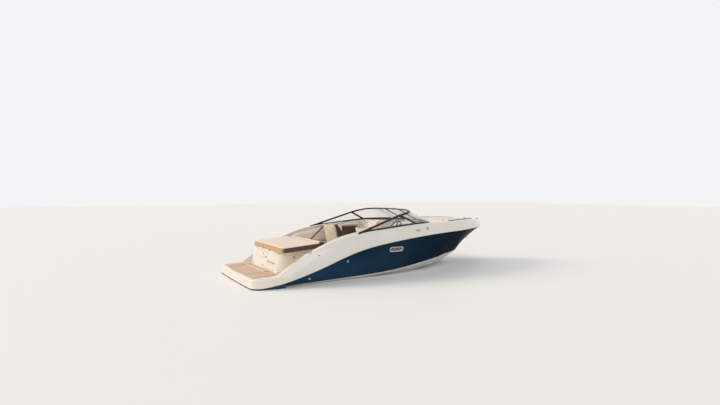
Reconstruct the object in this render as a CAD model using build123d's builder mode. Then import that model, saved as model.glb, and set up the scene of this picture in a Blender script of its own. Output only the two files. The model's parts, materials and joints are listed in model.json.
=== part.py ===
"""Open bow speedboat, 6.5 m long, with a sunpad aft, a swim platform and a sterndrive.

+X points to the bow, +Y to port, +Z up. The origin is on the centreline at the
waterline at mid-length. All sizes are in millimetres.
"""
import math
import os

from build123d import *

os.makedirs("parts", exist_ok=True)

# Levels above the waterline
PLATFORM_TOP = 180
WELL_FLOOR = 100
SOLE_TOP = 125
BOW_SOLE = 300
BOW_SEAT = 600
BOW_RIM = 1160
SIDE_LEDGE = 300
SKY = 1500
WIDE = 1300

# Places along the boat
TRANSOM_X = -2660
DECK_END_X = -2820
PLATFORM_END_X = -3250
BASE_FRONT_X = -1700
DASH_X = 420
AISLE_STEP_X = 1000
BOW_WELL_X = 1320
FOOTWELL_END_X = 1980

# Half-breadths inside the boat and the wall of the liner
WELL_HALF = 1062
AISLE_HALF = 300
LINER = 18

# Hull sections: x, keel z, chine y, chine z, knuckle y, knuckle z. Forward of the tenth the
# chine's line has crossed the centreline, and what is left of the side meets in the stem.
HULL_SECTIONS = [
    (TRANSOM_X, -385, 1080, 10, 1205, 95),
    (-2150, -385, 1084, 30, 1238, 248),
    (-1550, -385, 1088, 50, 1264, 460),
    (-900, -385, 1090, 74, 1272, 632),
    (-200, -383, 1085, 122, 1268, 740),
    (500, -358, 1040, 212, 1242, 812),
    (1150, -270, 895, 290, 1172, 848),
    (1700, -88, 640, 322, 1052, 866),
    (2100, 128, 340, 328, 885, 874),
    (2390, 309, 16, 318, 710, 876),
    (2750, 537, -308, 365, 462, 864),
    (3000, 799, -534, 500, 240, 848),
    (3160, 1045, -652, 680, 100, 845),
]
BEYOND_CENTRE = -800
CHINE_LIP = 5
# Lifting strakes of the bottom: share of the way from keel to chine, last section's x
STRAKES = [(0.36, 1700), (0.68, 1150)]
STRAKE_DEEP = 20

# Deck band sections: x, lower y, lower z, crown y, crown z, bulge
DECK_SECTIONS = [
    (DECK_END_X, 1180, 58, 1142, 182, 6),
    (-2680, 1212, 92, 1142, 275, 22),
    (-2400, 1240, 168, 1144, 458, 34),
    (-2000, 1262, 295, 1148, 658, 40),
    (-1600, 1276, 440, 1150, 808, 42),
    (-1150, 1283, 582, 1152, 912, 42),
    (-500, 1284, 700, 1150, 972, 40),
    (300, 1270, 792, 1135, 1042, 38),
    (1000, 1218, 842, 1080, 1060, 34),
    (1600, 1100, 862, 975, 1077, 30),
    (2200, 850, 872, 750, 1079, 26),
    (2700, 515, 862, 440, 1060, 22),
    (3000, 265, 848, 212, 1026, 16),
    (3150, 128, 842, 96, 980, 10),
    (3225, 50, 842, 34, 938, 5),
    (3248, 14, 848, 10, 905, 2),
]

# Engine bay below the floor, and the engine in it: x, y and z ranges
ENGINE_BAY = ((-2560, -1830), (-480, 480), -220)
ENGINE = ((-2380, -1880), (-300, 300), (-200, 400))

# Anchor locker in the foredeck: its plan, its floor, and the lid's gap and depth below the crown
LOCKER_PLAN = [(2935, 148), (2972, 148), (3095, 84), (3095, -84), (2972, -148), (2935, -148)]
LOCKER_FLOOR = 880
LID_GAP = 6
LID_SUNK = 5
ANCHOR_LID_THICK = 14

# Aft bench and the padded panels along the cockpit sides. The seam between the after two
# panels leans forward, and forward of them a dark panel lies under a narrow light one.
BENCH_FRONT_X = -1230
BENCH_STARBOARD_Y = -600
BENCH_SEAT_Z = 370
SIDE_PAD_THICK = 41
SIDE_PAD_AFT_X = -1640
SIDE_PAD_FRONT_X = 135
PAD_UNDER_CROWN = 36
SEAM_LOW_X = -1235
SEAM_HIGH_X = -850
PAD_LOW_Z = 560
PANEL_END_X = -330
PANEL_LOW_Z = 330
PANEL_TOP_Z = 900

# Half plans of the bow seating at its floor and at its rim: x, y
BOW_LOW_PLAN = [(BOW_WELL_X, 790), (2050, 470), (2360, 170)]
BOW_HIGH_PLAN = [(BOW_WELL_X, 960), (2050, 745), (2880, 235)]
SEAT_PANEL = 16
BOW_PAD_TOP = 720
BOW_PAD_END_X = 2320
BOLSTER_THICK = 69
BOLSTER_TOP = 1035

# Sunpad: a lid on the engine box, hinged along its aft lower edge
PAD_AFT_X = -2555
PAD_AFT_Z = 558
PAD_LENGTH = 836
PAD_STARBOARD_Y = -760
PAD_PORT_Y = 1000
PAD_THICK = 108
PAD_CORNER = 95
LID_THICK = 18
LID_INSET = 14
PAD_TILT = 4.6
BASE_FOOT_AFT_X = -2640
BASE_HEAD_AFT_X = -2510
BASE_FOOT_Y = -600
BASE_HEAD_Y = -650
BASE_HEAD_Z = 640
BASE_WALL = 60

# Swim platform, its skirt and the grooved decking let into it: y ranges of the strips
PLATFORM_RISE = math.radians(2.9)
PLATFORM_CORNER = 210
PLATFORM_HALF = 1150
PLATFORM_FLARE = 60
PLATFORM_BOW = 22
PLATFORM_WALL = 60
FLOOR_TOP = 208
DECKING_DEEP = 6
DECKING_STRIPS = [(-985, -885), (-880, -455), (-450, 645), (650, 985)]
DECKING_SEAM_X = (-2814, -2806)
DECKING_FRONT_X = -2690
SKIRT_LINE = [(-2640, 104), (-2750, 80), (-2900, 50), (-3050, 32), (-3300, 22)]
SKIRT_FOOT = -60

# Windshield: half plan of the glass at two heights, joined by straight rulings
SHIELD_FOOT_Z = 880
SHIELD_HEAD_Z = 1400
SHIELD_RAKE = 2.1
SHIELD_FOOT = {"side": (750, 1180), "bend": (1200, 950), "front": (1370, 480), "middle": (1420, 0)}
SHIELD_HEAD = {"side": (-340, 985), "bend": (110, 900), "front": (280, 470), "middle": (330, 0)}
SHIELD_INWARD = {"side": (0, -1), "bend": (-0.77, -0.64), "front": (-0.97, -0.25), "middle": (-1, 0)}
SHIELD_AFT_X = -1500
RAIL_LINE = [(-1130, 928), (-80, 1250), (290, 1338), (560, 1378)]
RAIL_HIGH = 40
FOOT_RAIL_HIGH = 34
POST_WIDE = 36
POST_FOOT_X = 690
RAIL_END_X = -820
GLASS_THICK = 12
FRAME_THICK = 26
DIVIDER_Y = 285
DIVIDER_WIDE = 24
DOOR_GAP = 6
STILE = 22

# Hinges: barrels on the turning line, in turn on the fixed and on the moving piece
HINGE_RADIUS = 9
HINGE_LONG = 34
HINGE_PLAY = 1
DOOR_HINGE = (1020, 285, 1070)
DOOR_HINGE_STARTS = (60, 480)
HATCH_HINGE_STARTS = (-390, 0, 380, 760)
LID_HINGE_STARTS = (-100, 32)

# Sterndrive, about the pivot that it steers and tilts on
DRIVE_PIVOT_X = -2775
DRIVE_PIVOT_Z = -130
PLATE_Z = -410
PROP_Z = -600
PROP_X = -3085
PROP_RADIUS = 185
PROP_BLADES = 3
HUB_RADIUS = 48
RING_RADIUS = 112
PIN_RADIUS = 12

# Side vents, through-hull fittings and stern cleats
VENT_PLACE = (-270, 562)
VENT_SIZE = (360, 108)
THROUGH_HULLS = ((-1405, 395), (-2175, 125))
THROUGH_HULL_RADIUS = 24
CLEAT = ((-2190, -2080), (-1128, -1102), (545, 640))

# Towing eye: x and z of its bore
BOW_EYE = (2785, 560)
BOW_EYE_BORE = 11

# Seats, each with the place and height that it turns at, and the wheel
HELM_SEAT = (-375, -500, 360)
COMPANION_SEAT = (-640, 520, 386)
SEAT_HALF = 245
BACK_RECLINE = 12
BACK_LENGTH = 555
BACK_FOOT = -272
BACK_ARC = 420
WHEEL_CENTRE = (135, -575, 935)
WHEEL_RADIUS = 175
WHEEL_RAKE = 32
RIM_RADIUS = 15


def lerp(a, b, t):
    return a + (b - a) * t


def side_y(x, z):
    """Half-breadth of the blue side at a place in side view."""
    for low, high in zip(HULL_SECTIONS, HULL_SECTIONS[1:]):
        if low[0] <= x <= high[0]:
            t = (x - low[0]) / (high[0] - low[0])
            chine_y, chine_z, knuckle_y, knuckle_z = [lerp(low[i], high[i], t) for i in (2, 3, 4, 5)]
            return lerp(chine_y, knuckle_y, (z - chine_z) / (knuckle_z - chine_z))
    raise ValueError("outside the hull sections")


def crown_z(x):
    """Height of the deck's crown at x."""
    for low, high in zip(DECK_SECTIONS, DECK_SECTIONS[1:]):
        if low[0] <= x <= high[0]:
            return lerp(low[4], high[4], (x - low[0]) / (high[0] - low[0]))
    raise ValueError("outside the deck sections")


def station(x):
    """The cross-section plane at x, with y and z as its own axes."""
    return Plane(origin=(x, 0, 0), x_dir=(0, 1, 0), z_dir=(1, 0, 0))


def prism(points, low, high):
    """A straight-sided solid over a plan outline."""
    with BuildPart() as solid:
        with BuildSketch(Plane.XY.offset(low)):
            with BuildLine():
                Polyline(*points, close=True)
            make_face()
        extrude(amount=high - low)
    return solid.part


def box(x0, x1, y0, y1, z0, z1):
    return prism([(x0, y0), (x1, y0), (x1, y1), (x0, y1)], z0, z1)


def plate(points, y0, y1):
    """A solid over a side-view outline, from y0 to y1."""
    with BuildPart() as solid:
        with BuildSketch(Plane.XZ.offset(-y1)):
            with BuildLine():
                Polyline(*points, close=True)
            make_face()
        extrude(amount=y1 - y0)
    return solid.part


def rounded_box(x0, x1, y0, y1, z0, z1, corner, edge):
    """A box with rounded upright corners and an eased top edge, as a cushion."""
    with BuildPart() as solid:
        with BuildSketch(Plane.XY.offset(z0)):
            with Locations(((x0 + x1) / 2, (y0 + y1) / 2)):
                RectangleRounded(x1 - x0, y1 - y0, corner)
        extrude(amount=z1 - z0)
        if edge:
            fillet(solid.faces().sort_by(Axis.Z)[-1].edges(), edge)
    return solid.part


def both_sides(part):
    """A piece and its mirror image about the centreline, as one node."""
    with BuildPart() as pair:
        add(part)
        mirror(about=Plane.XZ)
    return pair.part


def barrel(point, direction, start, end, radius):
    """A round bar along a line, from start to end past the point."""
    with BuildPart() as bar:
        with BuildSketch(Plane(origin=point, z_dir=direction).offset(start)):
            Circle(radius)
        extrude(amount=end - start)
    return bar.part


def hinged(part, point, direction, starts, fixed):
    """The part with its own barrels of a hinge, and room for the other part's."""
    with BuildPart() as leaf:
        add(part)
        for start in starts:
            own = start + HINGE_LONG if fixed else start
            other = start if fixed else start + HINGE_LONG
            add(barrel(point, direction, other - HINGE_PLAY, other + HINGE_LONG + HINGE_PLAY,
                       HINGE_RADIUS + HINGE_PLAY), mode=Mode.SUBTRACT)
            add(barrel(point, direction, own + HINGE_PLAY, own + HINGE_LONG - HINGE_PLAY, HINGE_RADIUS))
    return leaf.part


def save(part, name):
    """Label a finished piece and write it."""
    part.label = name
    export_step(part, f"parts/{name}.step")


def well(inset, start_x):
    """The open inside of the boat: cockpit, aisle, bow footwell and bow seating."""
    half = WELL_HALF - inset
    aisle = AISLE_HALF - inset
    with BuildPart() as space:
        add(box(start_x, DASH_X - inset, -half, half, SIDE_LEDGE, SKY))
        low = [(start_x, half), (-1697, half), (-1630, 980 - inset), (-300, 980 - inset),
               (DASH_X - inset, 790 - inset)]
        add(prism(low + [(x, -y) for x, y in reversed(low)], WELL_FLOOR, SIDE_LEDGE))
        add(box(DASH_X - 2 * LINER, AISLE_STEP_X + inset, -aisle, aisle, WELL_FLOOR, SKY))
        add(box(AISLE_STEP_X, BOW_WELL_X + 2 * LINER, -aisle, aisle, BOW_SOLE, SKY))
        add(box(BOW_WELL_X, FOOTWELL_END_X - inset, -aisle, aisle, BOW_SOLE, BOW_SEAT + LINER))
        for level, outline in ((BOW_SEAT, BOW_LOW_PLAN), (BOW_RIM, BOW_HIGH_PLAN)):
            with BuildSketch(Plane.XY.offset(level)):
                with BuildLine():
                    Polyline(*outline, *[(x, -y) for x, y in reversed(outline)], close=True)
                make_face()
                if inset:
                    offset(amount=-inset, kind=Kind.INTERSECTION)
        loft()
    return space.part


# Hull envelopes, before the inside is cut out. One half runs on past the centreline, and
# the keel and stem are where it meets the other.
with BuildPart() as hull_body:
    for row_x, keel_z, chine_y, chine_z, knuckle_y, knuckle_z in HULL_SECTIONS:
        beyond_z = keel_z + (chine_z - keel_z) / chine_y * BEYOND_CENTRE
        with BuildSketch(station(row_x)):
            with BuildLine():
                Polyline((BEYOND_CENTRE, beyond_z), (chine_y, chine_z), (knuckle_y, knuckle_z),
                         (BEYOND_CENTRE, knuckle_z), close=True)
            make_face()
    loft()
    add(box(TRANSOM_X - 10, 3300, 2 * BEYOND_CENTRE, 0, -1500, SKY), mode=Mode.SUBTRACT)
    mirror(about=Plane.XZ)

# Everything above a line just over the chine
with BuildPart() as over_chine:
    with BuildSketch(Plane.XZ.offset(-WIDE)):
        with BuildLine():
            line_points = [(row[0], row[3] + CHINE_LIP) for row in HULL_SECTIONS]
            Spline(*line_points)
            Polyline(line_points[-1], (line_points[-1][0], SKY), (line_points[0][0], SKY), line_points[0])
        make_face()
    extrude(amount=2 * WIDE)

with BuildPart() as deck_body:
    for row_x, low_y, low_z, top_y, top_z, bulge in DECK_SECTIONS:
        mid_y = (low_y + top_y) / 2 + bulge
        mid_z = (low_z + top_z) / 2 + bulge * 0.4
        with BuildSketch(station(row_x)):
            with BuildLine():
                ThreePointArc((low_y, low_z), (mid_y, mid_z), (top_y, top_z))
                Line((top_y, top_z), (-top_y, top_z))
                ThreePointArc((-top_y, top_z), (-mid_y, mid_z), (-low_y, low_z))
                Line((-low_y, low_z), (low_y, low_z))
            make_face()
    loft()

# What lies under the crown of the deck, as wide as the boat's inside
with BuildPart() as under_crown:
    for row_x, low_y, low_z, top_y, top_z, bulge in DECK_SECTIONS:
        with BuildSketch(station(row_x)):
            with BuildLine():
                Polyline((top_y, -500), (top_y, top_z), (-top_y, top_z), (-top_y, -500), close=True)
            make_face()
    loft()

# Hull bottom, blue side and deck moulding
well_space = well(0, DECK_END_X - 80)
engine_bay = box(*ENGINE_BAY[0], *ENGINE_BAY[1], ENGINE_BAY[2], WELL_FLOOR + 1)
locker_space = prism(LOCKER_PLAN, LOCKER_FLOOR, SKY)
lid_pivot_x = LOCKER_PLAN[0][0] + LID_GAP
lid_pivot = (lid_pivot_x, 0, crown_z(lid_pivot_x) - LID_SUNK)

with BuildPart() as hull_bottom:
    add(hull_body.part)
    add(over_chine.part, mode=Mode.SUBTRACT)
    for share, last_x in STRAKES:
        with BuildPart(mode=Mode.PRIVATE) as strake:
            for row_x, keel_z, chine_y, chine_z, knuckle_y, knuckle_z in HULL_SECTIONS:
                if row_x <= last_x:
                    y = share * chine_y
                    z = keel_z + share * (chine_z - keel_z)
                    slope = (chine_z - keel_z) / chine_y
                    with BuildSketch(station(row_x)):
                        with BuildLine():
                            Polyline((y - 70, z - 70 * slope + 3), (y, z - STRAKE_DEEP), (y + 6, z + 25),
                                     close=True)
                        make_face()
            loft(ruled=True)
        add(strake.part)
        mirror(strake.part, about=Plane.XZ)
    add(well_space, mode=Mode.SUBTRACT)
    add(engine_bay, mode=Mode.SUBTRACT)
save(hull_bottom.part, "hull_bottom")

with BuildPart() as hull_topsides:
    add(hull_body.part)
    add(over_chine.part, mode=Mode.INTERSECT)
    add(deck_body.part, mode=Mode.SUBTRACT)
    add(well_space, mode=Mode.SUBTRACT)
    add(engine_bay, mode=Mode.SUBTRACT)
topsides = hull_topsides.part.solids().sort_by(SortBy.VOLUME)[-1]
save(topsides, "hull_topsides")

with BuildPart() as deck:
    add(deck_body.part)
    add(well_space, mode=Mode.SUBTRACT)
    add(locker_space, mode=Mode.SUBTRACT)
deck_part = hinged(deck.part, lid_pivot, (0, 1, 0), LID_HINGE_STARTS, True)
save(deck_part, "deck")

# Liner: the white inner walls of cockpit, aisle and bow
with BuildPart() as liner:
    add(well(0, DECK_END_X + 10))
    add(well(LINER, DECK_END_X - 80), mode=Mode.SUBTRACT)
    add(under_crown.part, mode=Mode.INTERSECT)
save(liner.part, "cockpit_liner")

inner_half = WELL_HALF - LINER
inner_aisle = AISLE_HALF - LINER
with BuildPart() as sole:
    add(well(LINER, DECK_END_X))
    add(box(BASE_FRONT_X, AISLE_STEP_X, -inner_half, inner_half, WELL_FLOOR, SOLE_TOP), mode=Mode.INTERSECT)
save(sole.part, "cockpit_sole")

bow_sole = box(AISLE_STEP_X, FOOTWELL_END_X - LINER, -inner_aisle, inner_aisle, BOW_SOLE, BOW_SOLE + 25)
save(bow_sole, "bow_sole")

# Bow seat floor around the footwell
with BuildPart() as bow_seat_base:
    add(well(LINER, DECK_END_X))
    add(box(BOW_WELL_X + LINER, 2900, -1000, 1000, BOW_SEAT, BOW_SEAT + SEAT_PANEL), mode=Mode.INTERSECT)
    add(box(BOW_WELL_X, FOOTWELL_END_X - LINER, -AISLE_HALF, AISLE_HALF, 500, SKY), mode=Mode.SUBTRACT)
save(bow_seat_base.part, "bow_seat_base")

# Swim platform, rising slightly forward, with round after corners and a bowed edge
platform_plane = Plane(
    origin=(PLATFORM_END_X, 0, PLATFORM_TOP),
    x_dir=(math.cos(PLATFORM_RISE), 0, math.sin(PLATFORM_RISE)),
    z_dir=(-math.sin(PLATFORM_RISE), 0, math.cos(PLATFORM_RISE)),
)


def platform_slab(inset, top, thick):
    """The platform's plan drawn in by inset, with its top face and thickness stated."""
    reach = TRANSOM_X + 20 - PLATFORM_END_X
    corner_y = PLATFORM_HALF - inset
    front_y = corner_y + PLATFORM_FLARE
    with BuildPart() as slab:
        with BuildSketch(platform_plane.offset(top)):
            with BuildLine():
                ThreePointArc((inset, corner_y), (inset - PLATFORM_BOW, 0), (inset, -corner_y))
                Polyline((inset, -corner_y), (reach, -front_y), (reach, front_y), (inset, corner_y))
            make_face()
            fillet(vertices().sort_by(Axis.X)[:2], PLATFORM_CORNER - inset)
        extrude(amount=-thick)
    return slab.part


skirt_ends = [(x, SKIRT_FOOT) for x in (SKIRT_LINE[-1][0], SKIRT_LINE[0][0])]
under_skirt = plate(SKIRT_LINE + skirt_ends, -WIDE, WIDE)
decking_half = DECKING_STRIPS[-1][1]
rim = PLATFORM_WALL + 6

with BuildPart() as decking_field:
    add(platform_slab(rim, 20, 20 + DECKING_DEEP))
    for strip, next_strip in zip(DECKING_STRIPS, DECKING_STRIPS[1:]):
        add(box(-3300, -2600, strip[1], next_strip[0], 0, 400), mode=Mode.SUBTRACT)
    add(box(*DECKING_SEAM_X, *DECKING_STRIPS[2], 0, 400), mode=Mode.SUBTRACT)
    add(box(-3300, DECKING_FRONT_X, -decking_half, decking_half, 0, 400), mode=Mode.INTERSECT)

with BuildPart() as platform:
    add(platform_slab(0, 0, 170))
    top_edges = platform.faces().sort_by(Axis.Z)[-1].edges()
    fillet(top_edges.filter_by(lambda edge: edge.center().X < TRANSOM_X - 40), 20)
    add(under_skirt, mode=Mode.SUBTRACT)
    add(platform_slab(PLATFORM_WALL, -70, 200), mode=Mode.SUBTRACT)
    add(box(TRANSOM_X - 10, TRANSOM_X + 200, -WIDE, WIDE, -100, 400), mode=Mode.SUBTRACT)
    add(box(TRANSOM_X - 30, BASE_FRONT_X, -inner_half, inner_half, WELL_FLOOR + 10, FLOOR_TOP))
    add(deck_part, mode=Mode.SUBTRACT)
    add(hull_bottom.part, mode=Mode.SUBTRACT)
    add(topsides, mode=Mode.SUBTRACT)
    add(liner.part, mode=Mode.SUBTRACT)
    add(box(*ENGINE_BAY[0], *ENGINE_BAY[1], ENGINE_BAY[2], SKY), mode=Mode.SUBTRACT)
    add(decking_field.part, mode=Mode.SUBTRACT)
save(platform.part, "swim_platform")

with BuildPart() as skirt:
    add(platform_slab(12, -60, 200))
    add(under_skirt, mode=Mode.INTERSECT)
    add(platform_slab(52, 20, 400), mode=Mode.SUBTRACT)
    add(box(TRANSOM_X - 1, TRANSOM_X + 100, -WIDE, WIDE, -100, 400), mode=Mode.SUBTRACT)
    add(deck_part, mode=Mode.SUBTRACT)
    add(platform.part, mode=Mode.SUBTRACT)
    add(topsides, mode=Mode.SUBTRACT)
    add(hull_bottom.part, mode=Mode.SUBTRACT)
save(skirt.part, "platform_skirt")

with BuildPart() as decking:
    add(decking_field.part)
    add(platform_slab(rim + 1, 1, 1 + DECKING_DEEP), mode=Mode.INTERSECT)
save(decking.part, "platform_decking")

# Sunpad base over the engine, its top cut along the lid
lid_plane = Plane(
    origin=(PAD_AFT_X, 0, PAD_AFT_Z),
    x_dir=(math.cos(math.radians(PAD_TILT)), 0, math.sin(math.radians(PAD_TILT))),
    z_dir=(-math.sin(math.radians(PAD_TILT)), 0, math.cos(math.radians(PAD_TILT))),
)
with BuildPart() as sunpad_base:
    for level, aft_x, starboard_y in (
        (FLOOR_TOP, BASE_FOOT_AFT_X, BASE_FOOT_Y), (BASE_HEAD_Z, BASE_HEAD_AFT_X, BASE_HEAD_Y)
    ):
        with BuildSketch(Plane.XY.offset(level)):
            with BuildLine():
                Line((BASE_FRONT_X, inner_half), (aft_x + 40, inner_half))
                ThreePointArc((aft_x + 40, inner_half), (aft_x - 15, 350), (aft_x + 60, starboard_y + 230))
                ThreePointArc((aft_x + 60, starboard_y + 230), (aft_x + 130, starboard_y + 70),
                              (aft_x + 320, starboard_y))
                Polyline((aft_x + 320, starboard_y), (BASE_FRONT_X, starboard_y), (BASE_FRONT_X, inner_half))
            make_face()
    loft()
    with BuildSketch(lid_plane.offset(-2)):
        with Locations((400, 0)):
            Rectangle(2000, 3000)
    extrude(amount=600, mode=Mode.SUBTRACT)
    add(box(-2400, BASE_FRONT_X - BASE_WALL, -440, 900, 100, SKY), mode=Mode.SUBTRACT)
    with BuildSketch(lid_plane.offset(-2)):
        for start in HATCH_HINGE_STARTS:
            with Locations((0, start + 1.5 * HINGE_LONG)):
                Rectangle(90, HINGE_LONG - 2 * HINGE_PLAY, align=(Align.MIN, Align.CENTER))
    extrude(amount=-10)
hatch_pivot = (PAD_AFT_X, 0, PAD_AFT_Z)
save(hinged(sunpad_base.part, hatch_pivot, (0, 1, 0), HATCH_HINGE_STARTS, True), "sunpad_base")

save(box(*ENGINE[0], *ENGINE[1], *ENGINE[2]), "engine")


def pad_slab(inset, level, thick):
    """A slab with round corners on the lid's plane."""
    with BuildPart() as slab:
        with BuildSketch(lid_plane.offset(level)):
            with Locations((PAD_LENGTH / 2, (PAD_PORT_Y + PAD_STARBOARD_Y) / 2)):
                RectangleRounded(PAD_LENGTH - 2 * inset, PAD_PORT_Y - PAD_STARBOARD_Y - 2 * inset,
                                 PAD_CORNER - inset)
        extrude(amount=thick)
    return slab.part


with BuildPart() as engine_hatch:
    add(pad_slab(LID_INSET, 0, LID_THICK))
    with BuildSketch(lid_plane):
        for start in HATCH_HINGE_STARTS:
            with Locations((0, start + HINGE_LONG / 2)):
                Rectangle(40, HINGE_LONG - 2 * HINGE_PLAY, align=(Align.MIN, Align.CENTER))
    extrude(amount=10)
save(hinged(engine_hatch.part, hatch_pivot, (0, 1, 0), HATCH_HINGE_STARTS, False), "engine_hatch")
with BuildPart() as sunpad:
    add(pad_slab(0, LID_THICK, PAD_THICK - LID_THICK))
    fillet(sunpad.faces().sort_by(Axis.Z)[-1].edges(), 16)
save(sunpad.part, "sunpad_cushion")

# Aft bench in front of the sunpad
save(box(BASE_FRONT_X, BENCH_FRONT_X, BENCH_STARBOARD_Y, 930, SOLE_TOP, BENCH_SEAT_Z), "bench_base")
pad_low = BENCH_SEAT_Z + 1
seat_x = BASE_FRONT_X + 120
save(rounded_box(seat_x, BENCH_FRONT_X + 10, BENCH_STARBOARD_Y, 1000, pad_low, 480, 60, 25), "bench_cushion")
backrest_y = BENCH_STARBOARD_Y - 20
save(rounded_box(BASE_FRONT_X + 12, seat_x - 3, backrest_y, 1000, pad_low, 742, 40, 30), "bench_backrest")



def pad_top(x):
    return crown_z(x) - PAD_UNDER_CROWN


def side_panel(points, thick):
    """A panel over a side-view outline, on the cockpit's port side."""
    return plate(points, inner_half - 1 - thick, inner_half - 1)


# Padded panels along the cockpit sides, under the crown
with BuildPart() as side_pads:
    after_pad = [(SIDE_PAD_AFT_X, PAD_LOW_Z), (SEAM_LOW_X, PAD_LOW_Z), (SEAM_HIGH_X, pad_top(SEAM_HIGH_X)),
                 (SIDE_PAD_AFT_X, pad_top(SIDE_PAD_AFT_X))]
    middle_pad = [(SEAM_LOW_X + 12, PAD_LOW_Z), (PANEL_END_X, PAD_LOW_Z), (PANEL_END_X, pad_top(PANEL_END_X)),
                  (SEAM_HIGH_X + 12, pad_top(SEAM_HIGH_X))]
    narrow_pad = [(PANEL_END_X + 8, PANEL_TOP_Z + 6), (SIDE_PAD_FRONT_X, PANEL_TOP_Z + 6),
                  (SIDE_PAD_FRONT_X, pad_top(SIDE_PAD_FRONT_X)), (PANEL_END_X + 8, pad_top(PANEL_END_X))]
    for pad_outline in (after_pad, middle_pad, narrow_pad):
        add(side_panel(pad_outline, SIDE_PAD_THICK))
save(both_sides(side_pads.part), "side_pads")
panel_outline = [(PANEL_END_X + 8, PANEL_LOW_Z), (SIDE_PAD_FRONT_X - 10, PANEL_LOW_Z),
                 (SIDE_PAD_FRONT_X - 10, PANEL_TOP_Z), (PANEL_END_X + 8, PANEL_TOP_Z)]
save(both_sides(side_panel(panel_outline, 29)), "side_panels")

# Dash pods on the after faces of the two consoles
pod_outline = [(DASH_X - LINER - 1, 640), (290, 640), (222, 760), (262, 1000), (DASH_X - LINER - 1, 1060)]
save(plate(pod_outline, -1030, -330), "helm_dash")
port_outline = [(DASH_X - LINER - 1, 640), (190, 640), (140, 760), (150, 820), (235, 1015),
                (DASH_X - LINER - 1, 1045)]
save(plate(port_outline, 330, 1030), "port_dash")

# Steering wheel on a raked column
rake = math.radians(WHEEL_RAKE)
wheel_plane = Plane(
    origin=WHEEL_CENTRE, x_dir=(0, 1, 0), z_dir=(-math.cos(rake), 0, math.sin(rake))
)
with BuildPart() as steering_wheel:
    with BuildSketch(Plane(origin=wheel_plane.origin, x_dir=wheel_plane.x_dir, z_dir=wheel_plane.y_dir)):
        with Locations((WHEEL_RADIUS, 0)):
            Circle(RIM_RADIUS)
    revolve(axis=Axis(wheel_plane.origin, wheel_plane.z_dir))
    with BuildSketch(wheel_plane.offset(-12)):
        Circle(42)
        with PolarLocations(WHEEL_RADIUS / 2, 3, start_angle=-90):
            Rectangle(WHEEL_RADIUS, 26)
    extrude(amount=18)
    with BuildSketch(wheel_plane.offset(-12)):
        Circle(28)
    extrude(amount=-60)
save(steering_wheel.part, "steering_wheel")
with BuildPart() as helm_column:
    with BuildSketch(wheel_plane.offset(-78)):
        Circle(48)
    extrude(amount=-120)
    add(plate(pod_outline, -1030, -330), mode=Mode.SUBTRACT)
save(helm_column.part, "helm_column")

# Throttle on the starboard side panel
with BuildPart() as throttle:
    add(box(-120, 20, -1000, -962, 640, 800))
    add(box(-75, -45, -960, -935, 720, 900))
    add(box(-75, -45, -965, -900, 880, 915))
save(throttle.part, "throttle")


def seat_base(place):
    """A round foot and post under a swivel seat."""
    cx, cy, turn_z = place
    with BuildPart() as post:
        with Locations((cx, cy, SOLE_TOP)):
            Cylinder(150, 14, align=(Align.CENTER, Align.CENTER, Align.MIN))
            Cylinder(45, turn_z - 6 - SOLE_TOP, align=(Align.CENTER, Align.CENTER, Align.MIN))
    return post.part


def back_plane(place):
    """The plane that a seat's back rises from, square to its reclined line."""
    recline = math.radians(BACK_RECLINE)
    return Plane(
        origin=(place[0] + BACK_FOOT, place[1], place[2] + 54),
        x_dir=(math.cos(recline), 0, math.sin(recline)),
        z_dir=(-math.sin(recline), 0, math.cos(recline)),
    )


def back_slab(place, outer, thick, half, top, corner):
    """A curved back, hollow towards the bow, with round upper corners."""
    plane = back_plane(place)
    with BuildPart() as slab:
        with BuildSketch(plane):
            with Locations((BACK_ARC, 0)):
                Circle(outer)
                Circle(outer - thick, mode=Mode.SUBTRACT)
            with Locations((BACK_ARC, 0)):
                Rectangle(2 * BACK_ARC, 2 * half + 40, align=(Align.MAX, Align.CENTER), mode=Mode.INTERSECT)
        extrude(amount=top)
        with BuildSketch(Plane(origin=plane.origin, x_dir=(0, 1, 0), z_dir=plane.x_dir)):
            with Locations((0, top)):
                RectangleRounded(2 * half, 2 * top, corner)
        extrude(amount=BACK_ARC, both=True, mode=Mode.INTERSECT)
    return slab.part


def seat_shell(place):
    """A swivel seat's shell: curved back and rounded pan."""
    cx, cy, turn_z = place
    with BuildPart() as shell:
        add(back_slab(place, BACK_ARC, 34, SEAT_HALF, BACK_LENGTH, 90))
        with BuildSketch(Plane.XY.offset(turn_z)):
            with Locations((cx, cy)):
                RectangleRounded(2 * SEAT_HALF + 16, 2 * SEAT_HALF - 16, 110)
        extrude(amount=62)
    return shell.part


def seat_pads(place):
    """The upholstery inside a seat's shell, with its side wings."""
    cx, cy, turn_z = place
    plane = back_plane(place)
    side_view = Plane(origin=plane.origin, x_dir=plane.x_dir, z_dir=(0, -1, 0))
    wing = [(80, 8), (352, 8), (346, 120), (319, 225), (275, 345), (227, 470), (190, BACK_LENGTH - 34),
            (150, BACK_LENGTH - 16), (80, BACK_LENGTH - 16)]
    with BuildPart() as pads:
        add(back_slab(place, BACK_ARC - 35, 66, SEAT_HALF - 4, BACK_LENGTH - 8, 86))
        for start in (170, 4 - SEAT_HALF):
            with BuildSketch(side_view.offset(start)):
                with BuildLine():
                    Polyline(*wing, close=True)
                make_face()
            extrude(amount=SEAT_HALF - 174)
        with BuildSketch(Plane.XY.offset(turn_z + 63)):
            with Locations((cx, cy)):
                RectangleRounded(2 * SEAT_HALF + 8, 2 * SEAT_HALF - 24, 106)
        extrude(amount=112)
        add(seat_shell(place), mode=Mode.SUBTRACT)
    return pads.part


for seat_name, seat_place in (("helm_seat", HELM_SEAT), ("companion_seat", COMPANION_SEAT)):
    save(seat_base(seat_place), seat_name + "_post")
    save(seat_shell(seat_place), seat_name + "_shell")
    save(seat_pads(seat_place), seat_name + "_pads")


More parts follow.
